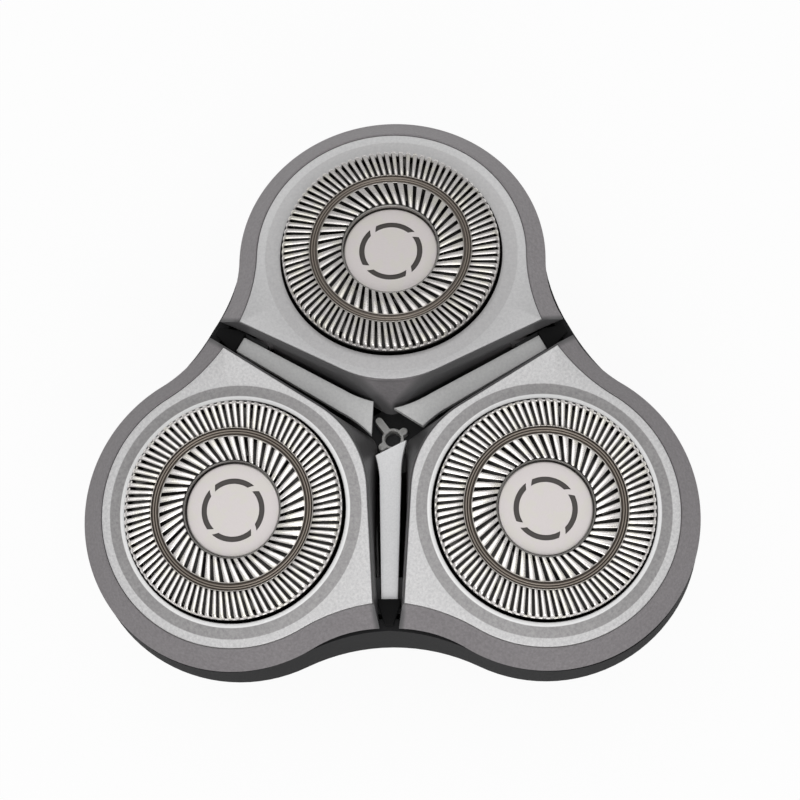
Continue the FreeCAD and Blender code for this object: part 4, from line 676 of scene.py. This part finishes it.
class Finish:
    """One material: a Principled shader and the nodes that vary its colour, gloss and bumps."""

    def __init__(self, name, roughness, metallic=0.0, coat=0.0, specular=0.5):
        self.material = bpy.data.materials.new(name)
        self.material.use_nodes = True
        self.tree = self.material.node_tree
        self.tree.nodes.clear()
        self.shader = self.tree.nodes.new("ShaderNodeBsdfPrincipled")
        output = self.tree.nodes.new("ShaderNodeOutputMaterial")
        self.tree.links.new(self.shader.outputs["BSDF"], output.inputs["Surface"])
        self.shader.inputs["Roughness"].default_value = roughness
        self.shader.inputs["Metallic"].default_value = metallic
        self.shader.inputs["Coat Weight"].default_value = coat
        self.shader.inputs["Specular IOR Level"].default_value = specular

    def node(self, kind, settings=None, inputs=(), output=0):
        """Adds a node: its settings first, then its inputs by place or by name."""
        made = self.tree.nodes.new(kind)
        for name, setting in (settings or {}).items():
            setattr(made, name, setting)
        pairs = inputs.items() if isinstance(inputs, dict) else enumerate(inputs)
        for name, given in pairs:
            if isinstance(given, Field):
                self.tree.links.new(given.socket, made.inputs[name])
            else:
                made.inputs[name].default_value = given
        return Field(self, made.outputs[output])

    def feed(self, name, field):
        self.tree.links.new(field.socket, self.shader.inputs[name])

    def place(self):
        """Position on the head, in millimetres."""
        spot = self.node("ShaderNodeTexCoord", output="Object")
        return self.node("ShaderNodeMapping", {"vector_type": "TEXTURE"}, {"Vector": spot, "Scale": (MM,) * 3})

    def lobe_place(self, lobe):
        """Position in a lobe's face frame, in millimetres."""
        centre, axes = LOBE_FRAMES[lobe]
        spot = self.node("ShaderNodeTexCoord", output="Object")
        turn = Matrix(axes.T.tolist()).to_euler()
        return self.node("ShaderNodeMapping", {"vector_type": "TEXTURE"},
                         {"Vector": spot, "Location": tuple(centre * MM), "Rotation": tuple(turn),
                          "Scale": (MM,) * 3})

    def parts(self, vector):
        """The three parts of a vector."""
        split = self.node("ShaderNodeSeparateXYZ", inputs=[vector])
        sockets = split.socket.node.outputs
        return [Field(self, sockets[index]) for index in range(3)]

    def noise(self, vector, scale, detail=2.0, roughness=0.5):
        """Smooth noise round 0.5 with about that many waves a millimetre."""
        return self.node("ShaderNodeTexNoise", inputs={"Vector": vector, "Scale": scale, "Detail": detail,
                                                       "Roughness": roughness})

    def stretched(self, vector, scale):
        """A position stretched by three factors."""
        return self.node("ShaderNodeVectorMath", {"operation": "MULTIPLY"}, [vector, scale])

    def step(self, field, start, end, low=0.0, high=1.0):
        """Smooth step: low up to start, high from end on."""
        return self.node("ShaderNodeMapRange", {"interpolation_type": "SMOOTHSTEP"},
                         {"Value": field, "From Min": start, "From Max": end, "To Min": low, "To Max": high})

    def ring(self, radius, inner, outer, soft):
        """1 between two radii, with soft edges."""
        return (self.step(radius, inner - soft, inner + soft)
                * self.step(radius, outer - soft, outer + soft, 1.0, 0.0))

    def mix(self, share, first, second):
        """Blend of two colours."""
        return self.node("ShaderNodeMix", {"data_type": "RGBA"},
                         {MIX_SHARE: share, MIX_FIRST: first, MIX_SECOND: second}, output=MIX_RESULT)

    def bump(self, height, distance):
        """Feeds the normal with a height in millimetres times the distance."""
        self.feed("Normal", self.node("ShaderNodeBump", inputs={"Height": height, "Distance": distance * MM}))


# The raised ring's slope: its darkest and lightest shade, partly its own darker finish and partly painted
# reflection that differs between the rear lobe and the front ones, its inner radius, and how strong the
# painted highlight on its lip is.
REAR_SLOPE = (178, 204, 11.3, 0.0)
FRONT_SLOPE = (146, 174, 11.68, 1.0)


def silver_paint(lobe):
    """Fine-grained silver paint, darker on the raised ring's slope, with a painted highlight on the lip and
    painted shade in its bore. The rear lobe's paint has painted light that grows lighter outwards."""
    low, high, inner, lip_highlight_share = REAR_SLOPE if lobe == REAR_LOBE else FRONT_SLOPE
    finish = Finish(f"silver_paint_{lobe}", 0.42, metallic=0.25, coat=0.1)
    spot = finish.lobe_place(lobe)
    x, y, _ = finish.parts(spot)
    radius = distance(x, y)
    grain = finish.noise(spot, 3.4, 3.0, 0.7)
    cloud = finish.noise(spot, 0.35, 2.0)
    speckle = grain * 2.6 - 0.8
    light = finish.mix(speckle, colour(196, 195, 196), colour(232, 231, 231))
    light = finish.mix(cloud * 0.4, light, colour(204, 204, 204))
    # The slope's darkness is partly its own darker finish and partly painted reflection, set apart for the
    # rear lobe and the front ones.
    dark = finish.mix(speckle, colour(low, low - 2, low - 1), colour(high, high - 2, high - 2))
    # Painted highlight: a near-white ring on the lip round the cap's hole, on the front lobes only.
    painted_lip_highlight = finish.ring(radius, 11.3, 11.74, 0.04) * lip_highlight_share
    light = finish.mix(painted_lip_highlight, light, colour(250, 250, 250))
    slope = finish.ring(radius, inner, 12.78, 0.05)
    paint = finish.mix(slope, light, dark)
    # Painted light: the rear lobe's paint is darker on its inner side and lighter outwards, as the light falls
    # on it.
    if lobe == REAR_LOBE:
        outward_painted_light = finish.step(y, -13.0, 13.0)
        paint = finish.mix(0.45, paint, finish.mix(outward_painted_light, colour(176, 176, 177), colour(244, 244, 244)))
    # Painted shade: the hole's wall round the cap is painted near black in place of the shade in the gap.
    bore = finish.step(radius, 11.24, 11.28, 1.0, 0.0)
    finish.feed("Base Color", finish.mix(bore, paint, colour(40, 39, 39)))
    finish.feed("Roughness", grain * 0.2 + 0.34)
    finish.bump(grain, 0.012)
    return finish.material


def moulded(name, low, high, roughness, grain_depth=0.015, waves=5.0, specular=0.5):
    """Moulded plastic: a fine eroded grain, slow cloudiness and a touch of gloss between the grains."""
    finish = Finish(name, roughness, specular=specular)
    spot = finish.place()
    grain = finish.noise(spot, waves, 3.0, 0.65)
    cloud = finish.noise(spot, 0.25, 2.0)
    share = grain * 1.4 - 0.35 + cloud * 0.3
    finish.feed("Base Color", finish.mix(share, colour(*low), colour(*high)))
    finish.feed("Roughness", grain * 0.25 + (roughness - 0.12))
    finish.bump(grain, grain_depth)
    return finish.material


# The skirt: its darkest and lightest shade, lighter on the rear lobe as painted light, and how far the nose's
# arc gets painted shade.
REAR_SKIRT = (126, 150, 0.3)
FRONT_SKIRT = (118, 140, 1.0)


def skirt_plastic(lobe):
    """Moulded grey plastic, with painted shade on the walls that face the gaps between the lobes.

    The walls are found by how far a point lies out from the gap's edge line, or from the nose's arc.
    """
    low, high, nose_painted_shade_share = REAR_SKIRT if lobe == REAR_LOBE else FRONT_SKIRT
    finish = Finish(f"skirt_plastic_{lobe}", 0.42)
    spot = finish.lobe_place(lobe)
    x, y, _ = finish.parts(spot)
    grain = finish.noise(spot, 3.6, 3.0, 0.65)
    cloud = finish.noise(spot, 0.25, 2.0)
    share = grain * 2.2 - 0.75 + cloud * 0.3
    plain = finish.mix(share, colour(low, low - 4, low - 2), colour(high, high - 4, high - 2))
    # Painted shade: the walls facing the gaps, and the nose's arc, get a dark grey in place of the shade down
    # between the lobes.
    out = x.math("ABSOLUTE") * math.sin(GAP_TURN) - y * math.cos(GAP_TURN)
    wall = finish.step(out, 12.9, 13.5)
    nose = distance(x, y - NOSE_Y)
    tip = finish.step(nose, 10.3, 10.7) * finish.step(y, -9.5, -8.5, 1.0, 0.0) * nose_painted_shade_share
    walls = wall.math("MAXIMUM", tip)
    finish.feed("Base Color", finish.mix(walls, plain, colour(86, 85, 86)))
    finish.feed("Roughness", grain * 0.25 + 0.3)
    finish.bump(grain, 0.012)
    return finish.material


# The cap's steel, set apart for the rear lobe and the front ones as painted reflection and painted shade:
# darkest and lightest shade of its lands, the painted shade below them, and the shade of the groove.
REAR_STEEL = (206, 236, 84, 116)
FRONT_STEEL = (232, 253, 40, 84)


def cap_steel(lobe):
    """Polished steel with fine turning lines; below the lands and low on the wall it is painted dark as
    painted shade, the rims beside the groove get some painted shade, and the groove is dull and brown.

    The depth below the lands is measured from the shoulder's rounding: the shoulder's radius less the
    distance from the middle of that rounding, out and up.
    """
    low, high, painted_slot_shade, brown = REAR_STEEL if lobe == REAR_LOBE else FRONT_STEEL
    finish = Finish(f"cap_steel_{lobe}", 0.22, metallic=1.0)
    spot = finish.lobe_place(lobe)
    x, y, z = finish.parts(spot)
    radius = distance(x, y)
    out = (radius - (CAP_RADIUS - SHOULDER)).math("MAXIMUM", 0.0)
    rise = (z - (TRACK_TOP - SHOULDER)).math("MAXIMUM", 0.0)
    depth = SHOULDER - distance(out, rise)
    # Painted shade: deeper than the lands' tops, and low on the cap's wall, the steel is painted dark.
    below = finish.step(depth, 0.09, 0.25)
    low_wall_painted_shade = finish.step(z, 0.75, 0.95, 1.0, 0.0)
    lines = finish.noise(finish.node("ShaderNodeCombineXYZ", inputs=[radius * 14.0, 0.0, z * 14.0]), 1.0, 2.0)
    cloud = finish.noise(spot, 1.3, 3.0, 0.6)
    tint = finish.noise(spot, 0.7, 2.0)
    # The lands' shades differ from lobe to lobe as painted reflection.
    bright = finish.mix(cloud, colour(low, low - 6, low - 7), colour(high, high - 2, high - 5))
    bright = finish.mix(finish.step(tint, 0.5, 0.62) * 0.5, bright, colour(high, high - 3, high - 18))
    groove = finish.ring(radius, 7.42, 8.18, 0.04)
    ridges = finish.ring(radius, 7.6, 7.78, 0.03) + finish.ring(radius, 7.88, 8.04, 0.03)
    rims = finish.ring(radius, 7.32, 8.36, 0.06)
    well = finish.step(radius, 4.97, 5.0, 1.0, 0.0)
    # Painted shade: the rims either side of the groove are dulled towards the shoulders' shade.
    shade = finish.mix(rims * 0.6, bright, colour(168, 162, 154))
    # The groove's brown is its own tone, but its lighter shade on the rear lobe, which the well's shade
    # follows, is painted light.
    shade = finish.mix(groove, shade, colour(brown, brown - 7, brown - 13))
    shade = finish.mix(ridges, shade, colour(146, 137, 128))
    shade = finish.mix(well, shade, colour(brown + 34, brown + 32, brown + 29))
    dark = below.math("MAXIMUM", low_wall_painted_shade) * (1.0 - groove) * (1.0 - well)
    finish.feed("Base Color", finish.mix(dark, shade, colour(painted_slot_shade, painted_slot_shade - 2, painted_slot_shade - 3)))
    finish.feed("Roughness", 0.18 + lines * 0.16 + groove * 0.2)
    finish.bump(lines, 0.006)
    return finish.material


def disc_steel(lobe):
    """Satin disc, with the sunk arcs darker."""
    finish = Finish(f"disc_steel_{lobe}", 0.4, metallic=0.35)
    spot = finish.lobe_place(lobe)
    x, y, z = finish.parts(spot)
    grain = finish.noise(finish.stretched(spot, (1.0, 9.0, 1.0)), 2.0, 3.0)
    cloud = finish.noise(spot, 0.8, 2.0)
    pale = finish.mix(grain, colour(218, 211, 210), colour(229, 223, 222))
    pale = finish.mix(finish.step(cloud, 0.48, 0.62) * 0.4, pale, colour(222, 220, 208))
    sunk = finish.ring(distance(x, y), ARC_INNER - 0.02, ARC_OUTER + 0.02, 0.01)
    sunk = sunk * finish.step(z, DISC_TOP - 0.06, DISC_TOP - 0.02, 1.0, 0.0)
    finish.feed("Base Color", finish.mix(sunk, pale, colour(74, 70, 68)))
    finish.feed("Roughness", grain * 0.15 + 0.32)
    finish.bump(grain, 0.004)
    return finish.material


def plain_steel(name, low, high, roughness):
    """Steel with cloudy shades, and fine lines in its gloss."""
    finish = Finish(name, roughness, metallic=1.0)
    spot = finish.place()
    cloud = finish.noise(spot, 1.5, 4.0, 0.6)
    lines = finish.noise(finish.stretched(spot, (1.0, 1.0, 12.0)), 2.0, 2.0)
    finish.feed("Base Color", finish.mix(cloud, colour(*low), colour(*high)))
    finish.feed("Roughness", lines * 0.2 + (roughness - 0.1))
    finish.bump(lines, 0.004)
    return finish.material


# Each plain finish: its darkest and lightest colour, its roughness and its other settings.
PLASTICS = {
    "dark_plastic": dict(low=(28, 28, 29), high=(40, 40, 41), roughness=0.7, specular=0.1),
    "black_plastic": dict(low=(12, 12, 12), high=(22, 22, 23), roughness=0.65, specular=0.1),
    "frame_plastic": dict(low=(56, 56, 57), high=(74, 74, 75), roughness=0.6, specular=0.2),
    "grey_plastic": dict(low=(224, 223, 220), high=(248, 247, 244), roughness=0.45),
    "gear_plastic": dict(low=(216, 212, 200), high=(232, 229, 220), roughness=0.4),
    "seal_rubber": dict(low=(14, 14, 14), high=(30, 30, 30), roughness=0.7, specular=0.2),
    "strip_paint": dict(low=(190, 190, 190), high=(218, 218, 217), roughness=0.4, grain_depth=0.01, waves=3.4),
    # Painted light: the front strip's paint is lighter than the others' for the light it gets.
    "front_strip_painted_light": dict(low=(226, 226, 227), high=(248, 248, 249), roughness=0.4, grain_depth=0.01,
                              waves=6.0),
}
STEELS = {
    "bright_steel": dict(low=(196, 195, 192), high=(226, 225, 222), roughness=0.28),
    # Painted shade: the blades under the cap's slots get a dark steel for the shade they lie in.
    "blade_steel_painted_shade": dict(low=(60, 59, 58), high=(92, 91, 90), roughness=0.35),
}
FINISHES = {name: moulded(name, **look) for name, look in PLASTICS.items()}
FINISHES.update({name: plain_steel(name, **look) for name, look in STEELS.items()})
CAP_STEEL = {lobe: cap_steel(lobe) for lobe in LOBES}
DISC_STEEL = {lobe: disc_steel(lobe) for lobe in LOBES}
SILVER = {lobe: silver_paint(lobe) for lobe in LOBES}
SKIRT = {lobe: skirt_plastic(lobe) for lobe in LOBES}

# Pieces that stand for CAD nodes

HOLDER = join([holder_shape(), nose_shape(), pin_shape()])
PLATE, CAP = face_plate_shape(), guard_cap_shape()
for lobe in LOBES:
    place = from_lobe(lobe)
    make_piece(f"holder_skin_{lobe}", f"lobe_{lobe}", HOLDER, place, SKIRT[lobe],
               [f"holder_{lobe}"])
    make_piece(f"face_plate_skin_{lobe}", f"lobe_{lobe}", PLATE, place, SILVER[lobe],
               [f"face_plate_{lobe}"])
    make_piece(f"slotted_cap_{lobe}", f"cap_{lobe}", CAP, place, CAP_STEEL[lobe],
               [f"guard_cap_{lobe}"], crease=50.0)
    make_piece(f"ringed_disc_{lobe}", f"cap_{lobe}", disc_shape(ARC_STARTS[lobe]), place, DISC_STEEL[lobe],
               [f"cap_disc_{lobe}"])

STRIP, BLOCK = cover_strip_shape(), hinge_block_shape()
for gap, angle in GAP_ANGLES.items():
    place = from_turn(angle)
    # The front strip gets the paint with painted light.
    paint = FINISHES["front_strip_painted_light" if gap == FRONT_GAP else "strip_paint"]
    make_piece(f"silver_strip_{gap}", "base", STRIP, place, paint, [f"cover_strip_{gap}"])
    make_piece(f"black_block_{gap}", "base", BLOCK, place, FINISHES["black_plastic"],
               [f"hinge_block_{gap}"])
make_piece("star_button", "base", star_shape(), unmoved, FINISHES["grey_plastic"],
           ["centre_star"])

COIL, LEAF = coil_spring_shape(), leaf_spring_shape()
for lobe, angle in LOBE_ANGLES.items():
    place = from_turn(angle)
    coil = make_piece(f"coil_spring_{lobe}", f"gear_{lobe}", COIL, place, FINISHES["bright_steel"],
                      [f"spindle_spring_{lobe}"])
    anchor = place(np.array([GEAR_REACH, 0.0, COIL_FOOT])) * MM
    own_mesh(coil)
    leaf = make_piece(f"leaf_spring_{lobe}", "base", LEAF, place, FINISHES["bright_steel"],
                      [f"lobe_spring_{lobe}"])
    anchor = place(np.array([LEAF_REACH, 0.0, LEAF_FOOT])) * MM
    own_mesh(leaf)

# Finishes of the CAD nodes that stay

NODE_FINISHES = {
    "base_bowl": "dark_plastic",
    "shaft_seal": "seal_rubber",
    "gear_cover": "dark_plastic",
    "carrier_frame": "frame_plastic",
    "central_gear": "gear_plastic",
    "cover_screw": "bright_steel",
    "drive_gear": "gear_plastic",
    "drive_spindle": "gear_plastic",
    "retaining_ring": "black_plastic",
    # Painted shade: the blades get a dark steel for the shade under the cap.
    "cutter_blades": "blade_steel_painted_shade",
    "cutter_hub": "black_plastic",
}
for name, node in frame["nodes"].items():
    kind = name.rstrip("123").rstrip("_")
    if kind in NODE_FINISHES:
        node.data.materials.clear()
        node.data.materials.append(FINISHES[NODE_FINISHES[kind]])

# Floor, light and camera: metres and watts, but the camera's place is in millimetres

WHITE = (1.0, 1.0, 1.0, 1.0)
PAPER = (0.9, 0.9, 0.9, 1.0)
FLOOR_HALF = 0.6
FLOOR_GLOW = 0.94
SKY_LIGHT = 0.5
LAMP_AIM = (0.0, 0.0, 0.02)
# The photograph's camera, in degrees and millimetres, fitted to points that the photo shows.
CAMERA_TILT, CAMERA_YAW, CAMERA_ROLL = 15.465, 2.848, 0.352
CAMERA_AIM = (0.976, 2.531, 24.0)
CAMERA_DISTANCE = 367.465
CAMERA_LENS = 165.36
SENSOR_WIDTH = 36.0


def empty_tree(owner):
    """Node tree of a material or a world, with its nodes removed."""
    owner.use_nodes = True
    owner.node_tree.nodes.clear()
    return owner.node_tree


def add_floor():
    """Pale floor under the head: plain to light and shadow, white to the camera and to reflections."""
    corners = FLOOR_HALF * np.array([(-1, -1, 0), (1, -1, 0), (1, 1, 0), (-1, 1, 0)], float)
    mesh = bpy.data.meshes.new("floor")
    mesh.from_pydata(corners.tolist(), [], [(0, 1, 2, 3)])
    material = bpy.data.materials.new("floor_paper")
    tree = empty_tree(material)
    output = tree.nodes.new("ShaderNodeOutputMaterial")
    paper = tree.nodes.new("ShaderNodeBsdfDiffuse")
    paper.inputs["Color"].default_value = PAPER
    glow = tree.nodes.new("ShaderNodeEmission")
    glow.inputs["Color"].default_value = WHITE
    blend = tree.nodes.new("ShaderNodeMixShader")
    path = tree.nodes.new("ShaderNodeLightPath")
    seen = tree.nodes.new("ShaderNodeMath")
    seen.operation = "MAXIMUM"
    share = tree.nodes.new("ShaderNodeMath")
    share.operation = "MULTIPLY"
    share.inputs[1].default_value = FLOOR_GLOW
    tree.links.new(path.outputs["Is Camera Ray"], seen.inputs[0])
    tree.links.new(path.outputs["Is Glossy Ray"], seen.inputs[1])
    tree.links.new(seen.outputs[0], share.inputs[0])
    tree.links.new(share.outputs[0], blend.inputs["Fac"])
    tree.links.new(paper.outputs["BSDF"], blend.inputs[1])
    tree.links.new(glow.outputs["Emission"], blend.inputs[2])
    tree.links.new(blend.outputs["Shader"], output.inputs["Surface"])
    mesh.materials.append(material)
    floor = bpy.data.objects.new("floor", mesh)
    bpy.context.scene.collection.objects.link(floor)


def set_world():
    """White to the camera, and a soft grey sky for light and reflections."""
    world = bpy.data.worlds.new("studio")
    bpy.context.scene.world = world
    tree = empty_tree(world)
    output = tree.nodes.new("ShaderNodeOutputWorld")
    blend = tree.nodes.new("ShaderNodeMixShader")
    path = tree.nodes.new("ShaderNodeLightPath")
    tree.links.new(path.outputs["Is Camera Ray"], blend.inputs["Fac"])
    for socket, strength in ((1, SKY_LIGHT), (2, 1.0)):
        sky = tree.nodes.new("ShaderNodeBackground")
        sky.inputs["Color"].default_value = WHITE
        sky.inputs["Strength"].default_value = strength
        tree.links.new(sky.outputs["Background"], blend.inputs[socket])
    tree.links.new(blend.outputs["Shader"], output.inputs["Surface"])


def add_lamp(name, place, size, power):
    """Square soft light that faces the head."""
    lamp = bpy.data.lights.new(name, "AREA")
    lamp.shape = "SQUARE"
    lamp.size = size
    lamp.energy = power
    thing = bpy.data.objects.new(name, lamp)
    thing.location = place
    thing.rotation_mode = "QUATERNION"
    thing.rotation_quaternion = (Vector(LAMP_AIM) - Vector(place)).to_track_quat("-Z", "Y")
    bpy.context.scene.collection.objects.link(thing)


def add_camera():
    """Camera of the photograph: looks down steeply from the front."""
    tilt, yaw, roll = (math.radians(angle) for angle in (CAMERA_TILT, CAMERA_YAW, CAMERA_ROLL))
    back = Vector((math.sin(yaw) * math.cos(tilt), -math.sin(tilt), math.cos(yaw) * math.cos(tilt)))
    back.normalize()
    side = Vector((0.0, 1.0, 0.0)).cross(back).normalized()
    up = back.cross(side)
    right = math.cos(roll) * side + math.sin(roll) * up
    upright = math.cos(roll) * up - math.sin(roll) * side
    camera = bpy.data.cameras.new("camera")
    camera.sensor_width = SENSOR_WIDTH
    camera.lens = CAMERA_LENS
    camera.clip_start = 0.01
    camera.clip_end = 10.0
    view = bpy.data.objects.new("camera", camera)
    view.rotation_mode = "QUATERNION"
    view.rotation_quaternion = Matrix((right, upright, back)).transposed().to_quaternion()
    view.location = (Vector(CAMERA_AIM) + back * CAMERA_DISTANCE) * MM
    bpy.context.scene.collection.objects.link(view)
    bpy.context.scene.camera = view


add_floor()
set_world()
add_lamp("front_light", (0.05, -0.36, 0.36), 0.3, 0.75)
add_lamp("top_light", (-0.03, 0.03, 0.5), 0.4, 0.45)
add_camera()
bpy.context.scene.view_settings.view_transform = "Standard"
